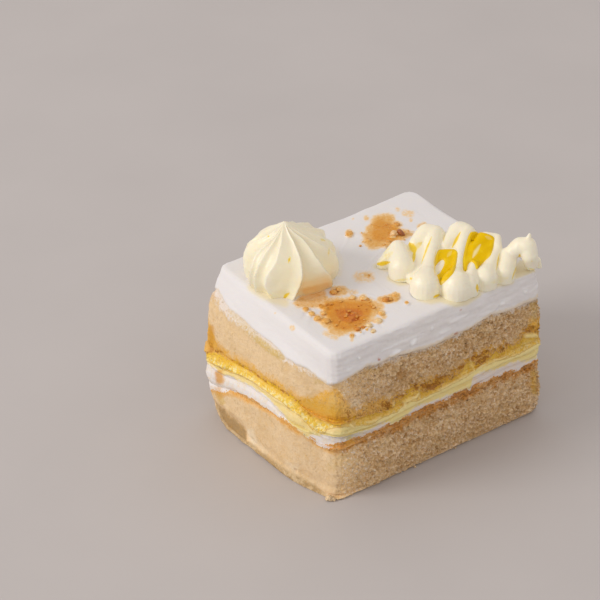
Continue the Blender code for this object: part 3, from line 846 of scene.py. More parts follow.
def crumb_color(finish, looks):
    """Cut sponge: pale granules with darker pores between them, and painted shade deep in pores and holes."""
    left = finish.painted("left")
    near = finish.painted("near")
    rough = 1.0 - left * 0.8
    # Less of the darker tints at the near corner, where it is painted lit
    darkening_kept = 1.0 - near * 0.6
    grit = finish.cloud(0.8, 3.0, distortion=0.5)
    fine = grit - 0.5
    fleck_and_glint = finish.cloud(0.65, 2.0, distortion=0.6)
    patches = finish.cloud(2.6, 3.0) - 0.5
    under_icing = finish.painted("under_icing") + fine * 5.0 + (finish.cloud(2.4, 3.0) - 0.5) * 4.0
    wet = finish.painted("wet") + fine * 0.8
    skin = finish.painted("skin") + patches * 4.0 + fine * 1.5
    torn = finish.painted("torn") + fine + patches * 1.2
    return finish.coated(
        looks.crumb,
        # Painted light: the front's near corner lighter, with fewer dark grains and more pale flecks
        (near * 0.85, CORNER_LIGHT_CRUMB),
        (left * 0.6, darker(looks.crumb, 0.93)),
        (grit.above(0.46, 0.60) * rough * (0.75 - near * 0.5), BROWN_GRIT),
        # Pale flecks on the crumb, partly painted glints on its granules
        (fleck_and_glint.above(0.54, 0.65) * rough * (0.65 + near * 0.35), PALE_FLECK_AND_GLINT),
        (finish.cloud(1.4, 2.0).above(0.5, 0.64) * near * 0.5, WARM_BLOTCH),
        (finish.painted("bright") * 0.7, BRIGHT_CRUMB),
        (finish.cloud(5.0, 3.0).above(0.42, 0.66) * 0.4, TAN_CRUMB),
        # Painted shade deep in the pores, holes and torn foot
        ((finish.painted("pit") * 1.2).clamped() * rough * darkening_kept * 0.85, looks.pores),
        # A darker, browner band of crumb just under the icing
        ((1.0 - under_icing.above(0.0, 2.4)) * darkening_kept * 0.55, CRUMB_BAND_UNDER_ICING),
        ((1.0 - under_icing.above(-0.3, 1.4)) * 0.8, ICING_TRACE),
        # Darker olive crumb along the given strokes
        (wet.above(0.2, 1.0) * 0.75, OLIVE_CRUMB),
        (skin.above(-0.3, 1.0) * 0.85,
         finish.mix((patches + fine * 0.6).above(-0.1, 0.12), looks.skin, GRAZED_SKIN)),
        # Painted shade in the torn recess: a darker skin colour
        (torn.above(0.1, 1.0) * 0.85, darker(looks.skin, 0.85)),
    )


# The tints of what lies between the sponges, from the lower one's crust to the upper one's stain
PALE_CRUST = (0.74, 0.44, 0.18)
LEFT_CRUST = (0.80, 0.38, 0.07)
LEFT_CRUST_PALE = (0.90, 0.58, 0.22)
WHITE_SMEAR = (0.86, 0.81, 0.78)
CREAMY_SMEAR = (0.88, 0.78, 0.60)
FRONT_WHITE = (0.74, 0.63, 0.56)
BRIGHT_YELLOW = (0.94, 0.80, 0.46)
FRONT_YELLOW = (0.86, 0.74, 0.33)
BRIGHT_FILLING = (0.98, 0.88, 0.46)
FRONT_FILLING = (0.82, 0.60, 0.22)
FRONT_FILLING_DARK = (0.58, 0.31, 0.05)
PALE_SOAKED = (0.82, 0.57, 0.26)
CORNER_LIGHT_SOAKED = (1.0, 0.62, 0.20)
# Painted light on the soaked crumb at the near corner
LEFT_SOAKED = (0.88, 0.50, 0.10)
ORANGE_FRINGE = (0.86, 0.47, 0.09)
AMBER = (0.82, 0.50, 0.09)
AMBER_DARK = (0.70, 0.36, 0.025)
FRONT_AMBER = (0.98, 0.62, 0.15)
LOW_AMBER = (0.82, 0.38, 0.02)
HIGH_AMBER = (0.92, 0.66, 0.30)
FAR_AMBER = (0.62, 0.27, 0.03)
GROOVE_SHADE = (0.52, 0.28, 0.03)
# The lips' pale cream, brightened as a painted highlight
LIP_CREAM_AND_HIGHLIGHT = (0.98, 0.79, 0.36)


class CutSide:
    """The colours of a cut side's layers, which share its grain and what is painted on its points."""

    def __init__(self, finish, sponge, cream):
        self.finish = finish
        self.sponge = sponge
        self.cream = cream
        self.grit = finish.cloud(0.62, 3.0)
        self.fine = self.grit - 0.5
        self.coarse = finish.cloud(2.0, 3.0) - 0.5
        self.ragged = self.fine * 0.8 + self.coarse
        self.dark = finish.painted("dark")
        self.left = finish.painted("left")
        self.front = 1.0 - self.left

    def over(self, seam, soft, ragged):
        """0 below a line between the layers and 1 above it, with a soft and ragged change."""
        return (self.finish.painted(seam) + self.ragged * ragged).above(-soft, soft)

    def crust(self):
        """The browned crust under the white cream."""
        browned = self.dark * 0.5 + self.fine * 2.6 + self.coarse * 1.6
        on_left = self.finish.mix(self.fine.above(-0.06, 0.08), LEFT_CRUST, LEFT_CRUST_PALE)
        return self.finish.coated(
            self.sponge.crust,
            (self.fine.above(-0.04, 0.06), PALE_CRUST),
            (browned.above(0.15, 0.5) * 0.95, self.sponge.crust_dark),
            (self.left * 0.8, on_left),
        )

    def white_cream(self):
        """White cream, dimmer on the front."""
        return self.finish.coated(
            WHITE_SMEAR,
            (self.coarse.above(-0.05, 0.15) * 0.4, CREAMY_SMEAR),
            (self.front * 0.5, FRONT_WHITE),
        )

    def yellow_cream(self):
        """Pale yellow cream, dimmer on the front."""
        return self.finish.coated(
            self.cream.pale,
            (self.coarse.above(-0.12, 0.1) * 0.5, BRIGHT_YELLOW),
            (self.front * 0.75, FRONT_YELLOW),
        )

    def filling(self):
        """The fruit filling: light drapes over deep yellow."""
        drapes = self.finish.cloud(0.9, 2.0, stretch=(1.0, 1.0, 0.4)) - 0.5
        deep = self.finish.painted("gold_top") + self.coarse * 6.0 + self.fine * 2.0 + drapes * 6.0
        on_front = self.finish.mix(
            (self.fine + self.coarse).above(-0.06, 0.1), FRONT_FILLING_DARK, FRONT_FILLING)
        return self.finish.coated(
            self.cream.fruit,
            ((drapes + self.fine * 0.5).above(-0.04, 0.07) * 0.85, BRIGHT_FILLING),
            (deep.above(-3.2, -0.6) * 0.9, self.cream.fruit_deep),
            (self.front * 0.45, on_front),
            ((self.dark * 0.6 + self.fine * 2.0).above(0.35, 0.7) * 0.6, self.sponge.soaked_dark),
        )

    def soaked_crumb(self):
        """The upper sponge's crumb that the filling has soaked."""
        darkest = self.dark * 0.55 + self.fine * 2.4 + self.coarse * 1.2
        return self.finish.coated(
            self.sponge.soaked,
            ((self.coarse * 0.6 + self.fine * 1.6).above(-0.12, 0.14), PALE_SOAKED),
            (self.fine.above(0.05, 0.12) * self.front * 0.55, self.sponge.soaked_dark),
            # Painted light: the soaked crumb lighter at the near corner
            (self.finish.painted("near") * 0.7, CORNER_LIGHT_SOAKED),
            (self.left * 0.55, LEFT_SOAKED),
            (darkest.above(0.1, 0.45) * 0.9, self.sponge.soaked_dark),
        )

    def amber_crumb(self):
        """Crumb full of syrup: darker low down and far off, lighter high up."""
        far = self.finish.painted("far")
        risen = self.finish.painted("gold_top") + self.coarse * 5.0 + self.fine * 3.0
        return self.finish.coated(
            AMBER_DARK,
            ((self.fine + self.coarse * 0.5).above(-0.1, 0.15), AMBER),
            (self.front * 0.7, FRONT_AMBER),
            ((1.0 - risen.above(0.3, 3.2)) * 0.6, LOW_AMBER),
            (risen.above(4.0, 9.0) * (1.0 - far) * 0.6, HIGH_AMBER),
            (far * 0.7, FAR_AMBER),
        )


def side_look(finish, looks):
    """The colours up a cut side, from the lower sponge's crumb to the upper one's, and the fine relief."""
    side = CutSide(finish, looks.sponge, looks.cream)
    crumb = crumb_color(finish, looks.sponge)
    line = side.over("yellow_top", 0.12, 0.8)
    groove = (finish.painted("yellow_top") + side.ragged * 0.8 + 0.45).above(0.0, 0.15) * (1.0 - line)
    fringe = 1.0 - (finish.painted("stain_top") + side.coarse * 6.0 + side.fine * 4.0).above(0.0, 2.4)
    amber = (finish.painted("amber") + side.fine + side.coarse * 0.8).above(0.0, 1.2)
    color = finish.coated(
        crumb,
        (side.over("crust_low", 0.9, 8.0 - side.left * 5.0) * 0.9, side.crust()),
        (side.over("crust_top", 0.12, 3.2), side.white_cream()),
        (side.over("white_top", 0.5, 2.2), side.yellow_cream()),
        (line, side.filling()),
        (side.over("gold_top", 0.25, 4.5), side.soaked_crumb()),
        (side.over("stain_top", 0.9, 7.0), finish.mix(fringe * side.left * 0.6, crumb, ORANGE_FRINGE)),
        (amber * 0.85, side.amber_crumb()),
        (groove * 0.55, GROOVE_SHADE),
        # The curling lips: pale cream with a painted highlight
        (finish.painted("lip").clamped() * 0.85, LIP_CREAM_AND_HIGHLIGHT),
    )
    creamy = side.over("crust_top", 0.3, 1.0) * (1.0 - side.over("gold_top", 0.5, 1.0))
    return color, (finish.cells(0.42) * 0.5 + side.grit) * (1.0 - creamy * 0.75), 0.15


def add_sponge(node, looks, down):
    """A cut sponge, with the pores that the knife opened."""
    name = node + "_crumb"
    finish = Finish(name, roughness=0.9, subsurface=0.05, depth=0.8, specular=0.15)
    add_layer(name, node, looks, finish, "sponge", grid=looks.sponge.grid / MM, down=down, up=0.35)


def add_white_cream(looks):
    """The white cream between the lower sponge and the yellow cream."""
    name = "white_cream_layer"
    finish = Finish(name, roughness=0.5, subsurface=0.15, coat=0.05, depth=1.5, specular=0.3)
    add_layer(name, "white_cream", looks, finish, "white_cream", grid=0.32, down=0.4, up=0.35)


def add_yellow_cream(looks):
    """The pale yellow cream under the fruit filling."""
    name = "yellow_cream_layer"
    finish = Finish(name, roughness=0.45, subsurface=0.15, coat=0.05, depth=1.5, specular=0.3)
    add_layer(name, "yellow_cream", looks, finish, "yellow_cream", grid=0.32, down=0.3, up=0.12)


def add_filling(looks):
    """The fruit filling, soaked into the crumb over it, with a curling lip."""
    name = "fruit_layer"
    finish = Finish(name, roughness=0.5, subsurface=0.08, coat=0.08, coat_roughness=0.2, depth=1.0,
                    specular=0.3)
    add_layer(name, "fruit_filling", looks, finish, "fruit_filling", grid=0.31, down=0.1, up=0.45)


# ---------------------------------------------------------------- icing and praline

class Area(NamedTuple):
    """An area of syrup: its outline in pixels, how soft its edge is, and how dark it is."""
    outline: tuple
    soft: float
    level: float


SYRUP_AREAS = (
    Area((
        (293, 303.5), (298, 308), (309, 308), (320, 308.5), (327, 309), (332, 304), (328, 298.3), (325, 291),
        (316, 288), (306, 292),
    ), 2.8, 0.38),
    Area((
        (322, 306), (328.5, 318), (327, 322), (322, 325.5), (327.5, 329), (330, 335), (340, 336.5),
        (349, 333), (356, 331), (362.5, 329), (370, 322.5), (376, 316.5), (381, 311), (384, 307),
        (382.5, 302.5), (374, 300.5), (366, 299.3), (349, 299.5), (336, 299), (326, 300),
    ), 2.8, 0.45),
    Area((
        (324, 301), (323, 310), (326, 318), (330, 324), (334, 331), (345, 332.5), (358, 330), (366, 324),
        (373, 314), (376, 306), (371, 300), (352, 299), (336, 299),
    ), 5.0, 0.78),
    Area((
        (331, 308), (333, 317), (340, 325), (352, 327), (360, 323), (367, 316), (367, 309), (360, 305),
        (350, 304), (340, 305),
    ), 6.0, 0.93),
    Area((
        (344, 312), (346, 318), (352, 320.5), (358, 318), (360, 313), (355, 309), (348, 308.5),
    ), 6.0, 1.08),
    Area((
        (383, 303.5), (384, 298), (389, 294.5), (395, 292), (400, 293.5), (400, 299), (396, 302),
        (389, 303.5),
    ), 1.8, 0.5),
    Area((
        (373, 217.2), (379.2, 214.5), (388.5, 213.8), (393.8, 215.3), (394.5, 221), (400.8, 223.4),
        (401.9, 225.7), (399.2, 228.2), (406.9, 230.3), (413.8, 232.6), (413, 234.9), (406.9, 237.2),
        (403, 240.5), (396, 242), (391.5, 245), (386.9, 248), (383.8, 246.5), (373, 249.2), (368.5, 248),
        (364.6, 243.4), (362.3, 241.8), (363.8, 238), (361.5, 233.4), (366.2, 231.8), (366.2, 227.2),
        (370.8, 223.4),
    ), 3.4, 0.52),
    Area((
        (372, 221), (370, 232), (369, 241), (378, 244), (390, 243), (400, 238), (402, 231), (396, 224),
        (386, 219), (378, 217),
    ), 4.5, 0.72),
)
# Drops of syrup; the film of cream round the piping
SYRUP_MARKS = (
    (5.0, 0.45, (335, 291), (343, 291)), (3.0, 0.2, (345, 291), (356, 292.5)), (3.4, 0.42, (323, 313.4)),
    (3.0, 0.7, (321, 306), (325.5, 308)), (4.5, 0.5, (322, 320), (326, 322)),
    (3.2, 0.36, (381.6, 313), (384, 316)), (3.2, 0.32, (374, 320), (380, 321)), (2.6, 0.5, (352.1, 336)),
    (2.0, 0.25, (352, 340)), (3.0, 0.25, (325, 333), (336, 338)), (3.2, 0.27, (292, 328)),
    (1.2, 0.22, (275, 313)), (3.2, 0.30, (366.5, 218)), (2.6, 0.25, (397.7, 209.5)),
    (4.0, 0.22, (405, 213), (411, 214)), (2.2, 0.28, (410.8, 220)), (1.6, 0.22, (353, 219)),
    (3.4, 0.32, (420, 227), (424, 225)), (6.0, 0.22, (358.5, 277), (369.5, 277)),
    (2.8, 0.42, (366, 275.4), (369, 276)), (3.2, 0.45, (380, 299.5), (386, 299)),
    (1.6, 1.3, (353, 320), (358, 319)),
)
FILM_MARKS = (
    (4.0, 0.6, (251, 288), (262, 295), (275, 300.5), (285, 303.5)),
    (3.4, 0.8, (390, 278), (400, 282.5), (412, 281)), (3.0, 0.5, (412, 288), (420, 297)),
    (3.6, 0.8, (420, 298), (431, 301), (441, 299), (456, 304), (466, 302.5), (478, 294)),
    (3.4, 0.7, (482, 290), (497, 284.5), (511, 281.5)), (3.0, 0.6, (376, 266), (388, 269)),
    (3.0, 0.25, (336, 250), (341, 262), (339, 274)),
)
# Smears that stand out from the icing's sides, painted whiter as a highlight
SMEAR_AND_HIGHLIGHT_MARKS = (
    (2.2, 1.0, (411, 345), (416, 338)), (1.8, 1.0, (389, 357), (396, 352), (401, 349.5)),
    (1.6, 0.8, (358, 359), (360, 357)), (1.2, 0.7, (431, 330), (433, 326)),
    (1.3, 0.45, (380, 352), (400, 343), (424, 331)), (1.4, 0.5, (448, 324), (470, 313)),
    (1.4, 0.6, (500, 305), (505, 302)), (1.6, 0.7, (524, 293), (527, 291)),
    (1.4, 0.4, (345, 372), (352, 368)), (1.2, 0.4, (404, 343), (410, 338), (424, 333)),
    (1.3, 0.35, (436, 336), (452, 328)), (1.3, 0.4, (476, 317), (496, 309)),
)
SMEAR_RISE = 0.6
# How far the icing's top may rise over its level
TOP_SWELL = 0.25
SPECK_MARKS = (
    (1.3, 1.0, (379, 359.6)), (1.0, 0.55, (460.8, 310)), (1.1, 0.7, (455, 334), (457, 333)),
    (0.8, 0.6, (461, 335)),
)
FILM_AREA = ((509, 281.5), (514, 268), (520, 260), (540, 266), (538.5, 270.5))


# Crumbs of praline: where each shows, its half width in pixels, and its tone from pale to dark
CRUMBS = (
    (305.7, 309.0, 2.9, 0.5), (311.6, 313.8, 3.0, 0.3), (317.5, 318.2, 3.3, 0.45), (325.7, 320.6, 3.7, 0.5),
    (320.7, 305.6, 1.6, 0.9), (325.3, 307.9, 1.8, 0.8), (323.4, 313.4, 2.3, 0.25), (363.5, 298.3, 3.8, 0.2),
    (352.5, 297.9, 3.0, 0.2), (368.5, 299.9, 1.1, 0.9), (386.0, 299.2, 3.6, 0.85), (390.0, 299.0, 2.8, 0.7),
    (394.8, 295.8, 3.3, 0.45), (381.6, 312.9, 3.3, 0.25), (378.3, 320.4, 3.3, 0.05), (369.4, 325.4, 2.8, 0.0),
    (373.2, 331.2, 2.3, 0.0), (367.1, 329.3, 1.4, 0.4), (357.5, 328.8, 2.9, 0.9), (363.0, 327.0, 2.0, 0.95),
    (360.7, 332.3, 0.9, 0.6), (352.1, 335.4, 2.2, 0.6), (333.6, 292.0, 3.4, 0.5), (338.8, 289.4, 3.2, 0.35),
    (344.0, 291.0, 1.6, 0.3), (406.8, 302.6, 1.7, 0.7), (368.4, 275.2, 1.6, 0.8), (349.2, 233.6, 3.6, 0.55),
    (396.9, 224.2, 2.8, 0.75), (360.4, 245.7, 1.1, 0.7), (368.0, 238.8, 1.3, 0.8), (388.5, 241.4, 2.2, 0.7),
    (384.0, 244.9, 1.8, 0.75), (393.0, 236.4, 3.6, 0.1), (346.0, 316.0, 1.8, 0.8), (353.0, 313.6, 2.4, 0.9),
    (357.0, 316.4, 1.8, 0.85), (349.5, 311.0, 1.6, 0.8), (336.0, 325.0, 1.6, 0.6), (331.5, 304.0, 1.4, 0.6),
    (341.0, 301.5, 1.5, 0.55), (374.0, 307.0, 1.6, 0.45),
)
# Where the nut's pale side and its dark side show
NUT = ((394.0, 235.6), (400.2, 235.2))


# The icing's tints, and the palest and darkest syrup on it
WARM_ICING = (0.83, 0.80, 0.775)
BRIGHT_STREAK = (0.96, 0.95, 0.96)
DIM_STREAK = (0.70, 0.665, 0.66)
# The smears' painted highlight
SMEAR_HIGHLIGHT = (0.98, 0.975, 0.98)
CRUMBED_EDGE = (0.82, 0.68, 0.48)
RED_SPECK = (0.50, 0.16, 0.08)
FAINT_SYRUP = (0.88, 0.72, 0.54)
TAN_SYRUP = (0.81, 0.45, 0.13)
BURNT_SYRUP = (0.55, 0.13, 0.006)


def syrup_stops(praline):
    """The syrup's colours from its thin edge to its wet middle."""
    return ((0.12, FAINT_SYRUP), (0.30, praline.syrup_thin), (0.52, TAN_SYRUP), (0.74, praline.syrup),
            (0.92, praline.syrup_dark), (1.0, BURNT_SYRUP))


def syrup_cover(seen):
    """How much syrup shows at each place on the icing: in its areas, in drops, and round the crumbs."""
    syrup = marked(seen, SYRUP_MARKS)
    for area in SYRUP_AREAS:
        syrup = np.maximum(syrup, area.level * covered(seen, area.outline, 2 * area.soft))
    for x, y, half, tone in CRUMBS:
        ring = marked(seen, ((half * 1.15, 0.34 + 0.3 * tone, (x, y)),))
        syrup = np.maximum(syrup, ring)
    return syrup


def icing_look(finish, looks, praline):
    """The icing's colours, its fine relief and the relief's height, and how wet the syrup is."""
    grit = finish.cloud(0.75, 3.0)
    fine = grit - 0.5
    front = finish.painted("front")
    streaks = finish.cloud(1.6, 3.0, stretch=(0.22, 0.22, 1.0))
    bits = fine + (finish.cloud(2.2, 2.0) - 0.5) * 1.6
    edge = 1.0 - (finish.painted("over_floor") + bits).above(0.0, 0.8)
    syrup = finish.painted("syrup")
    warped = fine * 0.55 + (finish.cloud(2.4, 3.0) - 0.5) * 0.30
    stain = syrup + warped * (syrup * 4.0).clamped() * (1.25 - syrup).clamped()
    color = finish.coated(
        looks.white,
        (finish.cloud(12.0, 2.0).above(0.4, 0.7) * 0.5, WARM_ICING),
        (front * streaks.above(0.5, 0.66) * 0.35, BRIGHT_STREAK),
        (front * (1.0 - streaks.above(0.34, 0.47)) * 0.2, DIM_STREAK),
        # Painted highlight on the raised smears
        (finish.painted("smear"), SMEAR_HIGHLIGHT),
        (finish.painted("film"), looks.film),
        (edge * 0.65, CRUMBED_EDGE),
        (finish.painted("speck"), RED_SPECK),
        (stain.above(0.03, 0.22), finish.ramp(stain, syrup_stops(praline))),
    )
    grainy = grit * stain.above(0.2, 0.6) * 2.0
    relief = finish.cloud(0.7, 4.0) * 0.5 + finish.cloud(2.6, 2.0, stretch=(0.3, 0.3, 1.0)) + grainy
    return color, relief, 0.10, 0.05 + stain.above(0.8, 1.0) * 0.35


def add_icing(looks, praline):
    """The white icing, smeared down its sides, with the praline's syrup soaked in."""
    piece = merged_copy("icing_sheet", "icing")
    reach_neighbours(piece, 0.3, 0.0)
    even_grid(piece, 0.42 * MM, keep_top=True)
    paint(piece, "over_floor", over_rim(points(piece), "icing", False))
    weigh(piece, "walls", wall_share(piece) * (1.0 - 0.75 * left_share(piece)))
    roughen(piece, grain("CLOUDS", 1.7, noise_depth=2), 0.8, "walls", stretch=(4.0, 4.0, 1.0))
    roughen(piece, grain("CLOUDS", 1.1, noise_depth=1), 0.25, "walls")
    weigh(piece, "top", 1.0 - wall_share(piece))
    roughen(piece, grain("CLOUDS", 14.0, noise_depth=1), 0.5, "top")
    outward = directions(piece)
    sideways = smooth_step((0.8 - outward[:, 2]) / 0.3) * shown_share(outward)
    smear = marked(picture(points(piece)), SMEAR_AND_HIGHLIGHT_MARKS, tapered=True) * sideways
    places = points(piece) + outward * (SMEAR_RISE * smear)[:, None]
    places[:, 2] = np.minimum(places[:, 2], ICING_TOP + TOP_SWELL)
    set_points(piece, places)
    seen = picture(places)
    on_top = smooth_step((places[:, 2] - 50.0) / 2.0)
    paint(piece, "syrup", syrup_cover(seen) * on_top)
    film = np.maximum(marked(seen, FILM_MARKS), 0.75 * covered(seen, FILM_AREA, 2.5))
    paint(piece, "film", film * on_top)
    paint(piece, "front", smooth_step(-outward[:, 1] * 1.6))
    paint(piece, "speck", marked(seen, SPECK_MARKS) * sideways)
    paint(piece, "smear", smear)
    finish = Finish("icing_sheet", roughness=0.45, subsurface=0.06, coat=0.05, coat_roughness=0.3,
                    depth=1.2, specular=0.15)
    finished(piece, "icing", finish.surface(*icing_look(finish, looks, praline)), "icing")


def on_icing(x, y, height=0.0):
    """The place on the icing's top that shows at a pixel."""
    right, up, back = camera_axes()
    ray = right * (x - PICTURE / 2) / PICTURE_SCALE - up * (y - PICTURE / 2) / PICTURE_SCALE - back
    start = np.array(CAMERA_PLACE) - NEAR_CORNER
    return start + ray * (ICING_TOP + height - start[2]) / ray[2]


def lump(place, half, stretch, draw, flat=0.7):
    """A rough crumb of this half width in millimetres, turned at random and pressed flat."""
    bpy.ops.mesh.primitive_ico_sphere_add(subdivisions=2, radius=1.0)
    piece = bpy.context.object
    spin = Matrix.Rotation(draw.uniform(0, tau), 3, Vector((draw.gauss(0, 1), draw.gauss(0, 1), 0.4)))
    for vertex in piece.data.vertices:
        seed = Vector((place[0], place[1], 0))
        rough = 1.0 + 0.45 * noise.noise(vertex.co * 1.4 + seed) + 0.3 * noise.noise(vertex.co * 3.1 + seed)
        bent = spin @ (vertex.co * rough)
        vertex.co = Vector((bent.x * half * stretch, bent.y * half / stretch, bent.z * half * flat))
    shift = Vector((np.array(place) + NEAR_CORNER).tolist())
    for vertex in piece.data.vertices:
        vertex.co = (vertex.co + shift) * MM
    return piece


def toned(name, lumps, tones):
    """Lumps as one piece, with each lump's tone painted on its points."""
    for piece, tone in zip(lumps, tones):
        paint(piece, "tone", np.full(len(piece.data.vertices), tone))
    return joined(name, lumps)


PALE_PRALINE = (0.92, 0.69, 0.38)
NUT_FLESH = (0.86, 0.56, 0.27)
# Tries at a grain of praline per square pixel of the box round an area of syrup, and how wide
# half a grain may be in millimetres
GRAINS = 0.012
GRAIN_HALVES = (0.14, 0.30)


def add_crumbs(praline):
    """The praline crumbs in their syrup, and a broken nut."""
    draw = Random(4)
    lumps = []
    tones = []
    for x, y, half_seen, tone in CRUMBS:
        half = half_seen / PIXELS_PER_MM
        lumps.append(lump(on_icing(x, y, 0.12 * half), half, draw.uniform(0.9, 1.15), draw, 0.38))
        tones.append(tone)
    for area in SYRUP_AREAS:
        outline = np.array(area.outline)
        low, high = outline.min(axis=0), outline.max(axis=0)
        for _ in range(round(GRAINS * (high - low).prod())):
            spot = np.array((draw.uniform(low[0], high[0]), draw.uniform(low[1], high[1])))
            if inside(spot[None], area.outline)[0] > -1.0:
                half = draw.uniform(*GRAIN_HALVES)
                lumps.append(lump(on_icing(*spot, 0.12), half, 1.0, draw, 0.5))
                tones.append(min(0.9 * area.level + draw.uniform(-0.1, 0.25), 1.0))
    piece = toned("praline_crumbs", lumps, tones)
    keep_in_box(piece)
    finish = Finish("praline_crumbs", roughness=0.4, subsurface=0.15, coat=0.3, coat_roughness=0.15,
                    depth=1.2, specular=0.3)
    tone = finish.painted("tone") + (finish.cloud(0.8, 3.0) - 0.5) * 1.1
    color = finish.ramp(tone.clamped(), ((0.0, PALE_PRALINE), (0.3, praline.crumb),
                                         (0.75, praline.syrup), (1.0, praline.syrup_dark)))
    finished(piece, "icing", finish.surface(color, finish.cloud(0.35, 3.0), 0.12), "icing")
    add_nut(praline)


# Crumbs at the slice's foot: their places on the floor and their half widths, in millimetres
CLINGING = (
    (-0.5, 0.9, 1.2), (0.3, 0.0, 0.8), (-0.2, 0.4, 0.9), (3.3, -0.9, 0.5), (6.5, -1.1, 0.35),
    (19.5, -1.1, 0.4), (25.4, -1.0, 0.6), (26.9, -1.2, 0.4), (30.7, -1.8, 0.45), (47.0, -1.6, 0.35),
    (71.1, -0.9, 0.6), (72.4, -0.8, 0.4), (81.0, 14.0, 0.5), (81.8, 38.0, 0.6), (55.0, 61.6, 0.6),
    (22.0, 61.4, 0.5), (-2.8, 12.0, 0.4),
)


def add_clinging_crumbs(looks):
    """Crumbs of sponge that cling to its bottom edge."""
    draw = Random(12)
    lumps = []
    for x, y, half in CLINGING:
        lumps.append(lump(np.array((x, y, 0.62 * half)), half, draw.uniform(0.9, 1.2), draw))
    piece = joined("clinging_crumbs", lumps)
    keep_in_box(piece)
    finish = Finish("clinging_crumbs", roughness=0.9, subsurface=0.1, depth=0.8, specular=0.15)
    color = finish.mix(finish.cloud(0.5, 3.0).above(0.4, 0.6), looks.crumb, darker(looks.crumb, 0.7))
    finished(piece, "sponge", finish.surface(color, finish.cloud(0.4, 3.0), 0.2))


def add_nut(praline):
    """The broken nut: a pale cut side and a dark skin."""
    draw = Random(9)
    pale, dark = (on_icing(*spot) for spot in NUT)
    halves = (
        lump(pale + (0.0, 0.0, 0.9), 1.15, 1.0, draw, 0.8),
        lump(pale + (0.7, -0.5, 0.5), 0.8, 1.2, draw),
        lump(pale + (-0.8, 0.2, 0.5), 0.75, 1.0, draw),
        lump(dark + (0.0, 0.0, 1.1), 1.2, 0.72, draw, 0.9),
        lump(dark + (0.5, -0.6, 0.7), 0.8, 0.8, draw, 0.9),
    )
    piece = toned("broken_nut", halves, (0.0, 0.0, 0.2, 1.0, 0.8))
    modify(piece, "SUBSURF", levels=1, render_levels=1)
    keep_in_box(piece)
    finish = Finish("broken_nut", roughness=0.45, subsurface=0.15, coat=0.2, depth=0.8)
    tone = finish.painted("tone") + (finish.cloud(0.9, 3.0) - 0.5) * 0.5
    color = finish.mix(tone.above(0.3, 0.6), NUT_FLESH, praline.nut)
    finished(piece, "icing", finish.surface(color, finish.cloud(0.5, 3.0), 0.2), "icing")


# ---------------------------------------------------------------- piped star

class Ridge(NamedTuple):
    """A ridge of the star: its direction in degrees at each of RIDGE_HEIGHTS, where the valley
    behind it lies on the way to the next ridge, and how deep that valley is."""
    turns: tuple
    valley: float
    depth: float


# The star: its middle, how far its tip leans from it, and its radius and height from rim to tip
STAR_CENTRE = (15.7, 42.1)
STAR_TIP_SHIFT = (-1.6, 1.2)
STAR_PROFILE = ((13.4, -0.6), (14.0, 0.4), (14.5, 2.0), (14.8, 4.4), (14.6, 7.0), (13.4, 9.8), (11.4, 12.1),
                (8.9, 14.0), (6.2, 15.7), (3.9, 17.1), (2.1, 18.3), (0.9, 19.2), (0.0, 19.7))
RIDGE_HEIGHTS = (0.0, 4.0, 8.0, 12.0, 16.0, 19.0)
RIDGES = (
    Ridge((148, 144, 138, 141, 160, 176), 0.5, 1.3), Ridge((168, 173, 178, 175, 185, 190), 0.5, 0.9),
    Ridge((181, 183, 187, 190, 195, 198), 0.45, 1.3), Ridge((207, 201, 203, 214, 217, 206), 0.62, 1.15),
    Ridge((236, 242, 249, 253, 254, 243), 0.17, 1.9), Ridge((300, 291, 282, 279, 287, 266), 0.22, 1.7),
    Ridge((322, 320, 318, 310, 302, 292), 0.4, 1.0), Ridge((344, 343, 341, 334, 324, 312), 0.5, 1.2),
    Ridge((366, 366, 365, 360, 350, 338), 0.5, 1.3), Ridge((389, 389, 388, 384, 376, 368), 0.5, 1.4),
    Ridge((412, 412, 411, 408, 404, 400), 0.5, 1.5), Ridge((438, 438, 437, 434, 428, 426), 0.5, 1.5),
    Ridge((463, 463, 462, 460, 448, 446), 0.5, 1.5), Ridge((487, 487, 488, 492, 473, 466), 0.5, 1.4),
)
# The far shoulder, which stands further out: its direction, its height, and how far it does
STAR_PUFF = (radians(14), 13.0, 2.0)
STAR_SEGMENTS = 300
STAR_ROWS = 64
# How far the star stands over the icing, and the groove depth at which its painted shade is full
STAR_LIFT = 0.3
DEEPEST_GROOVE = 2.6


def along(profile, share):
    """A smooth curve through a profile's points, read at a share of its length."""
    place = share * (len(profile) - 1)
    first = min(int(place), len(profile) - 2)
    rest = place - first
    near = [np.array(profile[min(max(first + step, 0), len(profile) - 1)]) for step in (-1, 0, 1, 2)]
    bend = (2 * near[1] + (near[2] - near[0]) * rest
            + (2 * near[0] - 5 * near[1] + 4 * near[2] - near[3]) * rest ** 2
            + (3 * near[1] - near[0] - 3 * near[2] + near[3]) * rest ** 3)
    return bend / 2


def star_groove(turns, radius, height):
    """How far the star steps in between its ridges, in millimetres, round one of its rings."""
    angles = np.array([np.interp(height, RIDGE_HEIGHTS, ridge.turns) for ridge in RIDGES])
    angles = np.append(angles, angles[0] + 360)
    degrees = (np.degrees(turns) - angles[0]) % 360 + angles[0]
    number = np.clip(np.searchsorted(angles, degrees, side="right") - 1, 0, len(RIDGES) - 1)
    gap = angles[number + 1] - angles[number]
    share = (degrees - angles[number]) / gap
    valley = np.array([ridge.valley for ridge in RIDGES])[number]
    depth = np.array([ridge.depth for ridge in RIDGES])[number]
    phase = np.where(share < valley, 0.5 * share / valley, 0.5 + 0.5 * (share - valley) / (1 - valley))
    chord = radius * (1 - np.cos(np.radians(np.minimum(gap, 50)) / 2))
    belly = 1.0 + 0.35 * np.exp(-((height - 1.0) / 1.6) ** 2)
    return (0.6 * chord + depth * belly * min(radius / 7.5, 1.0)) * np.sin(pi * phase) ** 0.8


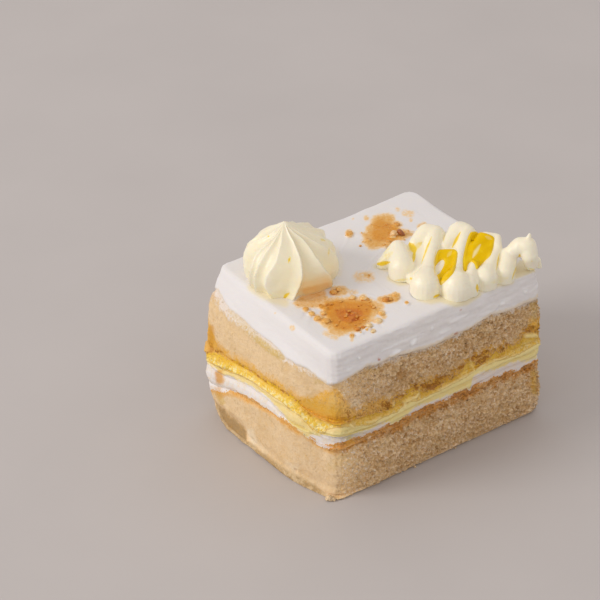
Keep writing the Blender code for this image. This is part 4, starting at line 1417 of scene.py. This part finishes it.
# Syrup that the star's foot drew up, and yellow caught in its grooves
STAR_STAIN = (
    (5.0, 1.0, (306, 291), (316, 289), (326, 286)), (11.0, 0.6, (306, 288), (330, 285)),
    (2.6, 0.6, (298, 299), (304, 291)),
)
STAR_YOLK = (
    (1.3, 1.0, (290, 257), (288.6, 262.5)), (1.1, 0.9, (268.4, 236.2)), (1.3, 0.6, (320, 239), (325, 240.5)),
    (1.2, 0.6, (329, 247), (328.5, 256)), (1.8, 1.0, (283.5, 299), (286, 295.5), (289.5, 293)),
    (2.5, 0.35, (262, 292), (276, 300)),
)


def add_star(looks):
    """The piped star, whose ridges run from its tip down round its belly."""
    bpy.ops.mesh.primitive_uv_sphere_add(segments=STAR_SEGMENTS, ring_count=STAR_ROWS, radius=1.0)
    piece = bpy.context.object
    piece.name = "star_cream"
    ball = (points(piece) + NEAR_CORNER) * MM
    rows = np.rint((np.arctan2(ball[:, 2], np.hypot(ball[:, 0], ball[:, 1])) / pi + 0.5) * STAR_ROWS)
    turns = np.arctan2(ball[:, 1], ball[:, 0])
    places = np.empty((len(ball), 3))
    hollow = np.zeros(len(ball))
    for row in range(STAR_ROWS + 1):
        ring = rows == row
        radius, height = along(STAR_PROFILE, max(row - 1, 0) / (STAR_ROWS - 1))
        radius = 0.0 if row == 0 else max(radius, 0.0)
        groove = star_groove(turns[ring], radius, height)
        aside = (turns[ring] - STAR_PUFF[0] + pi) % tau - pi
        puff = STAR_PUFF[2] * np.exp(-(aside / radians(38)) ** 2 - ((height - STAR_PUFF[1]) / 3.4) ** 2)
        radii = radius - groove + puff
        hollow[ring] = groove
        tilt = (max(height, 0.0) / STAR_PROFILE[-1][1]) ** 2
        places[ring, 0] = STAR_CENTRE[0] + radii * np.cos(turns[ring]) + STAR_TIP_SHIFT[0] * tilt
        places[ring, 1] = STAR_CENTRE[1] + radii * np.sin(turns[ring]) + STAR_TIP_SHIFT[1] * tilt
        places[ring, 2] = ICING_TOP + STAR_LIFT + height
    set_points(piece, places)
    roughen(piece, grain("CLOUDS", 4.0, noise_depth=1), 0.35)
    roughen(piece, grain("CLOUDS", 1.3, noise_depth=1), 0.10)
    keep_in_box(piece)
    paint_piping(piece, STAR_STAIN, STAR_YOLK)
    # Painted shade: the star's grooves darker and warmer the deeper they are
    paint(piece, "hollow", hollow / DEEPEST_GROOVE)
    finished(piece, "piped_cream", piped_finish("star_cream", looks), "piped_star")


def paint_piping(piece, stains, yolk_and_shade_strokes):
    """Paint the syrup and the yellow veins on the side of some piping that the photograph shows."""
    seen = picture(points(piece))
    facing = smooth_step((directions(piece) @ camera_axes()[2] + 0.1) / 0.2)
    paint(piece, "stain", marked(seen, stains) * facing)
    paint(piece, "yolk", marked(seen, yolk_and_shade_strokes, tapered=True) * facing)
    # Painted shade: upward faces darker and greyer
    paint(piece, "tops", smooth_step(directions(piece)[:, 2] * 1.3 - 0.3))


# The piped cream's tints, its painted shade in grooves and on upward faces, and those of the yellow and the
# syrup on it
WARM_PIPING = (0.98, 0.91, 0.69)
GROOVE_SHADE_PIPING = (0.96, 0.845, 0.54)
TOP_SHADE_PIPING = (0.93, 0.83, 0.62)
YOLK_EDGE = (0.98, 0.86, 0.42)
STAIN_EDGE = (0.97, 0.80, 0.47)
STAIN_MIDDLE = (0.94, 0.61, 0.21)


def piped_finish(name, looks):
    """Piped cream: ivory, soft and a little moist."""
    finish = Finish(name, roughness=0.36, subsurface=0.2, coat=0.12, coat_roughness=0.3, depth=1.4)
    yolk = finish.painted("yolk") + (finish.cloud(1.2, 2.0) - 0.5) * 0.5
    stain = finish.painted("stain") + (finish.cloud(2.0, 3.0) - 0.5) * 0.35
    color = finish.coated(
        looks.piped,
        (finish.cloud(6.0, 2.0).above(0.35, 0.7) * 0.5, WARM_PIPING),
        # Painted shade deep in the star's grooves
        (finish.painted("hollow").clamped(), GROOVE_SHADE_PIPING),
        # Painted shade on upward faces
        (finish.painted("tops") * 0.55, TOP_SHADE_PIPING),
        # Yellow veins, and on the ruffle one stroke of painted shade
        (yolk.above(0.1, 0.45) * 0.5, YOLK_EDGE),
        (yolk.above(0.35, 0.9), looks.yolk),
        (stain.above(0.05, 0.65) * 0.9, STAIN_EDGE),
        (stain.above(0.5, 1.1) * 0.85, STAIN_MIDDLE),
    )
    return finish.surface(color, finish.cloud(0.9, 3.0), 0.06)


# ---------------------------------------------------------------- piped ruffle

class Bead(NamedTuple):
    """A place on the ruffle's route: where the cream runs, and how thick it is there."""
    x: float
    y: float
    height: float
    radius: float


# Each fold's rope of cream, from the top of its loop down to the blob at the front
ROPES = (
    (Bead(41.9, 30.5, 1.1, 1.6), Bead(47.4, 29.6, 4.4, 3.0), Bead(43.6, 22.8, 2.9, 4.1)),
    (Bead(58.2, 28.6, 5.8, 4.0), Bead(59.6, 26.6, 6.6, 3.3), Bead(54.4, 21.6, 5.2, 2.3),
     Bead(50.4, 17.8, 4.4, 2.1), Bead(47.0, 14.6, 3.7, 2.6), Bead(43.3, 11.1, 2.5, 4.7)),
    (Bead(66.6, 22.8, 6.3, 4.2), Bead(67.2, 20.6, 7.2, 3.2), Bead(61.3, 16.0, 6.0, 1.6),
     Bead(56.6, 11.5, 4.9, 1.5), Bead(53.6, 8.8, 4.1, 2.0), Bead(50.5, 4.9, 2.5, 4.9)),
    (Bead(71.0, 15.6, 6.0, 2.8), Bead(73.2, 13.0, 7.4, 1.4), Bead(70.6, 9.6, 5.8, 1.5),
     Bead(67.0, 7.3, 4.8, 1.7), Bead(63.1, 5.0, 3.8, 2.4), Bead(60.5, 3.2, 2.5, 3.7)),
    (Bead(72.4, 6.3, 4.8, 2.6), Bead(69.8, 4.0, 3.6, 2.8), Bead(67.2, 2.2, 2.4, 2.9)),
)
HOOK = (Bead(73.4, 5.4, 6.4, 2.5), Bead(75.4, 4.4, 7.9, 2.8), Bead(76.6, 2.7, 8.2, 2.9),
        Bead(76.4, 1.3, 5.6, 2.6), Bead(77.5, 1.6, 2.1, 2.1))
HOOK_TIP = (Bead(76.7, 2.8, 9.4, 1.6), Bead(77.0, 2.8, 10.9, 0.9), Bead(77.3, 2.8, 12.2, 0.4))
FRILL = (
    Bead(79.3, 0.0, 4.0, 0.5), Bead(80.2, 0.0, 0.6, 0.45), Bead(78.6, 1.8, 4.6, 0.6),
    Bead(79.2, 1.6, 0.6, 0.6),
)
# The cream that rises beside the third rope, between two tongues of glaze
TONGUE = (Bead(53.6, 3.4, 2.6, 3.4), Bead(58.0, 6.2, 4.4, 1.5), Bead(60.2, 8.4, 4.9, 1.2))
# Where the loop between two ropes lies: its share of the way, how far aside, and its thickness
LOOP_RUN = 0.72
LOOP_SPREAD = 1.6
LOOP_RADIUS = 2.2
# How far under the ropes the web of cream between them lies, and its thickness
WEB_DROP = 1.0
WEB_RADIUS = 1.3
RUFFLE_GRID = 0.29
# How far the ruffle reaches into the icing
RUFFLE_SUNK = 0.1


def between(first, second, share, aside):
    """A bead on the way from one to another, moved aside along the row of folds."""
    length = hypot(second.x - first.x, second.y - first.y)
    side_x = (second.y - first.y) / length
    side_y = -(second.x - first.x) / length
    return Bead(first.x + (second.x - first.x) * share + side_x * aside,
                first.y + (second.y - first.y) * share + side_y * aside,
                first.height + (second.height - first.height) * share, LOOP_RADIUS)


def sunk(bead):
    """The same place under the web of cream between two ropes."""
    return Bead(bead.x, bead.y, max(bead.height - WEB_DROP, 1.0), WEB_RADIUS)


def hull(beads, grounded=True):
    """The hull round some beads of cream, down to the icing if grounded."""
    bpy.ops.object.select_all(action="DESELECT")
    balls = list(beads)
    if grounded:
        balls += [bead._replace(height=min(bead.height, 0.2)) for bead in beads]
    made = []
    for ball in balls:
        place = (np.array((ball.x, ball.y, ICING_TOP + ball.height)) + NEAR_CORNER) * MM
        bpy.ops.mesh.primitive_uv_sphere_add(
            segments=20, ring_count=10, radius=ball.radius * MM, location=place)
        made.append(bpy.context.object)
    for ball in made:
        ball.select_set(True)
    bpy.ops.object.join()
    span = bpy.context.object
    with editing(span):
        bpy.ops.mesh.select_all(action="SELECT")
        bpy.ops.mesh.convex_hull()
    return span


def joined(name, pieces):
    """Several objects as one, at the origin."""
    bpy.ops.object.select_all(action="DESELECT")
    for piece in pieces:
        piece.select_set(True)
    bpy.context.view_layer.objects.active = pieces[0]
    bpy.ops.object.join()
    bpy.ops.object.transform_apply(location=True, rotation=True, scale=True)
    whole = bpy.context.object
    whole.name = name
    return whole


# Yellow caught in the ruffle's folds, and one stroke of painted shade down a fold's right flank
RUFFLE_YOLK_AND_SHADE = (
    (4.0, 1.0, (409, 243), (413, 248), (415, 253)), (1.8, 0.95, (414.5, 250), (413.5, 262)),
    (3.0, 0.6, (414, 249), (422, 242)), (1.1, 0.8, (432, 236), (427, 248), (421, 264)),
    (0.9, 0.7, (436, 250), (434.5, 262), (435, 276)), (1.6, 0.9, (460.5, 232), (456, 240), (452, 248)),
    # The first stroke here, down a fold's right flank, is painted shade
    (1.1, 0.5, (444.5, 233), (443.5, 243)), (1.5, 0.9, (433, 297.5), (440, 294.5)),
    (1.6, 0.9, (477, 284), (477.5, 292)), (2.4, 0.95, (376, 264), (383, 263.6), (390, 262)),
    (1.5, 0.4, (380, 255), (391, 247)), (3.2, 0.4, (382, 260), (393, 252)), (1.6, 0.9, (411, 278.5)),
    (1.3, 0.5, (395, 280.5), (409, 279)), (0.9, 0.8, (499.5, 253), (498, 260), (496.5, 270)),
    (1.0, 0.7, (517, 265), (512, 279.5)), (1.1, 0.9, (519.6, 254), (519.6, 258)), (1.1, 0.5, (531.9, 261.3)),
    (1.1, 0.6, (529, 268.5), (536, 270.5)), (3.0, 0.3, (490, 283), (508, 278)),
)


class Pool(NamedTuple):
    """A pool of glaze: its outline in pixels, and the outlines of the cream that stands out of it."""
    outline: tuple
    islands: tuple


GLAZES = (
    Pool(((443.5, 248.5), (459, 248.5), (457.5, 262), (455.5, 272), (449, 279), (441, 286.8), (439, 283.5),
          (436, 274), (434, 262), (436.6, 249.6)),
         (((443, 259.5), (444.2, 263), (441.5, 269), (438, 274.5), (434, 274), (434, 270), (437.5, 264)),)),
    Pool(((471.6, 230.7), (480, 231), (489.4, 233.5), (495.7, 237), (494, 247), (491.7, 256), (484.8, 261.7),
          (475.6, 272), (474.4, 265), (471, 261.7), (467.6, 266), (467, 281), (464, 276), (462.3, 267),
          (461.8, 259), (465.3, 243), (468.7, 233)),
         ()),
)
# Pale streaks painted on the glaze
GLAZE_PALE = (
    (1.7, 1.0, (480, 245), (476, 252), (472.5, 259)), (1.6, 0.35, (485, 237), (492, 240)),
    (1.6, 0.7, (471.5, 262), (470, 267), (471, 271)), (1.5, 0.35, (452, 252), (447, 258)),
    (1.6, 0.4, (446, 281), (442, 285)),
)
# The glaze's thickness, the width of its rounded edge, how deep that edge is sunk, and how far
# outside their outline the pools are cut from the cream, in millimetres
GLAZE_THICK = 0.6
GLAZE_EDGE = 0.7
GLAZE_SUNK = 0.12
GLAZE_SPILL = -0.3


THIN_GLAZE = (0.95, 0.68, 0.02)
GLAZE_RIM = (0.97, 0.74, 0.12)
PALE_GLAZE = (0.98, 0.88, 0.50)


def cut_pool(name, cream, depth):
    """The largest patch of the cream's surface that lies within a pool."""
    corners = np.empty(len(cream.data.loops), int)
    cream.data.loops.foreach_get("vertex_index", corners)
    starts = np.empty(len(cream.data.polygons), int)
    cream.data.polygons.foreach_get("loop_start", starts)
    shallow = np.minimum.reduceat(depth[corners], starts) < GLAZE_SPILL
    with editing_faces(cream, shallow):
        bpy.ops.mesh.delete(type="FACE")
        bpy.ops.mesh.select_mode(type="VERT")
        bpy.ops.mesh.select_non_manifold(use_wire=False, use_boundary=False, use_multi_face=False,
                                         use_non_contiguous=False)
        bpy.ops.mesh.delete(type="VERT")
        bpy.ops.mesh.select_all(action="SELECT")
        bpy.ops.mesh.delete_loose()
        bpy.ops.mesh.select_all(action="SELECT")
        bpy.ops.mesh.separate(type="LOOSE")
    parts = sorted(bpy.context.selected_objects, key=lambda part: len(part.data.polygons))
    for part in parts[:-1]:
        bpy.data.objects.remove(part)
    parts[-1].name = name
    return parts[-1]


def add_glaze(name, cream, pool, looks):
    """A pool of yellow glaze that lies on the ruffle's cream."""
    copy = new_piece(name, cream.data.copy())
    seen = picture(points(copy))
    depth = inside(seen, rounded(pool.outline))
    for island in pool.islands:
        depth = np.minimum(depth, -inside(seen, rounded(island)))
    shown = directions(copy) @ camera_axes()[2] > 0.05
    depth = np.where(shown, depth / PIXELS_PER_MM, -GLAZE_EDGE)
    paint(copy, "depth", depth)
    paint(copy, "pale", marked(seen, GLAZE_PALE, tapered=True))
    piece = cut_pool(name, copy, depth)
    flat = np.empty(len(piece.data.vertices), np.float32)
    piece.data.attributes["depth"].data.foreach_get("value", flat)
    modify(piece, "SMOOTH", factor=0.5, iterations=6)
    weigh(piece, "inner", smooth_step(flat / 1.2))
    modify(piece, "SMOOTH", factor=0.5, iterations=24, vertex_group="inner")
    rise = GLAZE_THICK * smooth_step(flat / GLAZE_EDGE) - GLAZE_SUNK
    set_points(piece, points(piece) + directions(piece) * rise[:, None])
    modify(piece, "SOLIDIFY", thickness=GLAZE_THICK * MM, offset=-1.0)
    keep_in_box(piece)
    finish = Finish(name, roughness=0.3, subsurface=0.2, coat=0.08, coat_roughness=0.12, depth=1.0,
                    specular=0.05)
    thin = finish.cloud(3.0, 2.0, stretch=(1.0, 1.0, 0.35)).above(0.5, 0.7)
    color = finish.coated(
        looks.glaze,
        (thin * 0.5, THIN_GLAZE),
        ((1.0 - finish.painted("depth").above(0.0, 0.7)) * 0.5, GLAZE_RIM),
        (finish.painted("pale") * 0.7, PALE_GLAZE),
    )
    finished(piece, "piped_cream", finish.surface(color))
    for extra in ("yolk", "stain", "tops"):
        piece.data.attributes.remove(piece.data.attributes[extra])


def add_ruffle(looks):
    """The piped ruffle: a rope of cream laid to and fro, with a hook at its end."""
    spans = []
    for rope in ROPES:
        spans += [hull(pair) for pair in zip(rope, rope[1:])]
    for rope, following in zip(ROPES, ROPES[1:-1]):
        loop = between(rope[-1], following[0], LOOP_RUN, -LOOP_SPREAD)
        spans.append(hull((loop, following[0])))
        spans.append(hull([sunk(bead) for bead in (*rope[1:], loop, *following[1:])]))
    spans.append(hull([sunk(bead) for bead in (*ROPES[-2][2:], *ROPES[-1])]))
    spans += [hull(pair) for pair in zip(TONGUE, TONGUE[1:])]
    for course in (HOOK, HOOK_TIP):
        spans += [hull(pair, grounded=False) for pair in zip(course, course[1:])]
    spans.append(hull(FRILL, grounded=False))
    piece = joined("ruffle_cream", spans)
    modify(piece, "REMESH", mode="VOXEL", voxel_size=RUFFLE_GRID * MM)
    modify(piece, "SMOOTH", factor=0.5, iterations=3)
    with editing(piece):
        bpy.ops.mesh.select_all(action="SELECT")
        bpy.ops.mesh.bisect(plane_co=(0, 0, (ICING_TOP - RUFFLE_SUNK) * MM), plane_no=(0, 0, 1),
                            use_fill=True, clear_inner=True, threshold=0.0001 * MM)
    roughen(piece, grain("CLOUDS", 3.0, noise_depth=1), 0.3)
    keep_in_box(piece)
    paint_piping(piece, (), RUFFLE_YOLK_AND_SHADE)
    finished(piece, "piped_cream", piped_finish("ruffle_cream", looks), "piped_ruffle")
    for number, pool in enumerate(GLAZES, 1):
        add_glaze(f"glaze_pool_{number}", piece, pool, looks)


# ---------------------------------------------------------------- stage

FLOOR_SIZE = 3.0
SKY_TINT = (1.0, 0.95, 0.93, 1.0)
KEY_PLACE = (-1.6, 0.6, 1.05)
KEY_WIDTH = 0.9
KEY_TINT = (1.0, 0.975, 0.95)
# What the key light points at, over the origin
KEY_AIM = Vector((0, 0, 0.03))


def add_stage(looks):
    """A pale floor, soft light from the left, and the camera."""
    scene = bpy.context.scene
    scene.view_settings.view_transform = "Standard"
    bpy.ops.mesh.primitive_plane_add(size=FLOOR_SIZE)
    floor = bpy.context.object
    floor.name = "pale_floor"
    finish = Finish("pale_floor", roughness=0.7, specular=0.3)
    color = finish.mix(finish.cloud(60.0, 3.0).above(0.3, 0.7), looks.floor, darker(looks.floor, 0.96))
    floor.data.materials.append(finish.surface(color))
    scene.world = bpy.data.worlds.new("soft_sky")
    scene.world.use_nodes = True
    sky = scene.world.node_tree.nodes["Background"]
    sky.inputs["Color"].default_value = SKY_TINT
    sky.inputs["Strength"].default_value = looks.sky
    bpy.ops.object.light_add(type="AREA", location=KEY_PLACE)
    key = bpy.context.object
    key.data.shape = "DISK"
    key.data.size = KEY_WIDTH
    key.data.energy = looks.key
    key.data.color = KEY_TINT
    key.rotation_euler = (KEY_AIM - key.location).to_track_quat("-Z", "Y").to_euler()
    turn = Vector(camera_axes()[2]).to_track_quat("Z", "Y").to_euler()
    bpy.ops.object.camera_add(location=Vector(CAMERA_PLACE) * MM, rotation=turn)
    scene.camera = bpy.context.object
    scene.camera.data.sensor_width = SENSOR
    scene.camera.data.lens = LENS
    scene.camera.data.clip_start = 0.01


# ---------------------------------------------------------------- operators and panel

class SliceLook(bpy.types.PropertyGroup):
    """Everything that a user would change."""
    sponge: PointerProperty(type=SpongeLook)
    cream: PointerProperty(type=CreamLook)
    praline: PointerProperty(type=PralineLook)
    stage: PointerProperty(type=StageLook)


class CREAM_OT_sponges(bpy.types.Operator):
    """Add the two cut sponges"""
    bl_idname = "cream_slice.sponges"
    bl_label = "Sponges"

    def execute(self, context):
        looks = context.scene.cream_slice
        add_sponge("lower_sponge", looks, 0.0)
        add_sponge("upper_sponge", looks, 0.2)
        add_clinging_crumbs(looks.sponge)
        return {"FINISHED"}


class CREAM_OT_fillings(bpy.types.Operator):
    """Add the two creams and the fruit filling between the sponges"""
    bl_idname = "cream_slice.fillings"
    bl_label = "Creams and filling"

    def execute(self, context):
        looks = context.scene.cream_slice
        add_white_cream(looks)
        add_yellow_cream(looks)
        add_filling(looks)
        return {"FINISHED"}


class CREAM_OT_icing(bpy.types.Operator):
    """Add the white icing with its praline stains"""
    bl_idname = "cream_slice.icing"
    bl_label = "Icing"

    def execute(self, context):
        looks = context.scene.cream_slice
        add_icing(looks.cream, looks.praline)
        return {"FINISHED"}


class CREAM_OT_crumbs(bpy.types.Operator):
    """Add the praline crumbs and the broken nut"""
    bl_idname = "cream_slice.crumbs"
    bl_label = "Praline"

    def execute(self, context):
        add_crumbs(context.scene.cream_slice.praline)
        return {"FINISHED"}


class CREAM_OT_star(bpy.types.Operator):
    """Add the piped star"""
    bl_idname = "cream_slice.star"
    bl_label = "Piped star"

    def execute(self, context):
        add_star(context.scene.cream_slice.cream)
        return {"FINISHED"}


class CREAM_OT_ruffle(bpy.types.Operator):
    """Add the piped ruffle"""
    bl_idname = "cream_slice.ruffle"
    bl_label = "Piped ruffle"

    def execute(self, context):
        add_ruffle(context.scene.cream_slice.cream)
        return {"FINISHED"}


class CREAM_OT_stage(bpy.types.Operator):
    """Add the floor, the lights and the camera"""
    bl_idname = "cream_slice.stage"
    bl_label = "Stage"

    def execute(self, context):
        add_stage(context.scene.cream_slice.stage)
        return {"FINISHED"}


STEPS = (CREAM_OT_sponges, CREAM_OT_fillings, CREAM_OT_icing, CREAM_OT_crumbs, CREAM_OT_star, CREAM_OT_ruffle,
         CREAM_OT_stage)


class CREAM_PT_slice(bpy.types.Panel):
    """The steps that make the slice"""
    bl_label = "Cream Slice"
    bl_space_type = "VIEW_3D"
    bl_region_type = "UI"
    bl_category = "Cream Slice"

    def draw(self, context):
        for step in STEPS:
            self.layout.operator(step.bl_idname)


CLASSES = (SpongeLook, CreamLook, PralineLook, StageLook, SliceLook, *STEPS, CREAM_PT_slice)


def register():
    """Make the add-on's classes known, and give scenes their looks."""
    for item in CLASSES:
        bpy.utils.register_class(item)
    bpy.types.Scene.cream_slice = PointerProperty(type=SliceLook)


def unregister():
    """Take the add-on's classes away again."""
    del bpy.types.Scene.cream_slice
    for item in reversed(CLASSES):
        bpy.utils.unregister_class(item)


def main():
    """Make the whole slice."""
    register()
    bpy.ops.cream_slice.sponges()
    bpy.ops.cream_slice.fillings()
    bpy.ops.cream_slice.icing()
    bpy.ops.cream_slice.crumbs()
    bpy.ops.cream_slice.star()
    bpy.ops.cream_slice.ruffle()
    bpy.ops.cream_slice.stage()


if __name__ == "__main__":
    main()
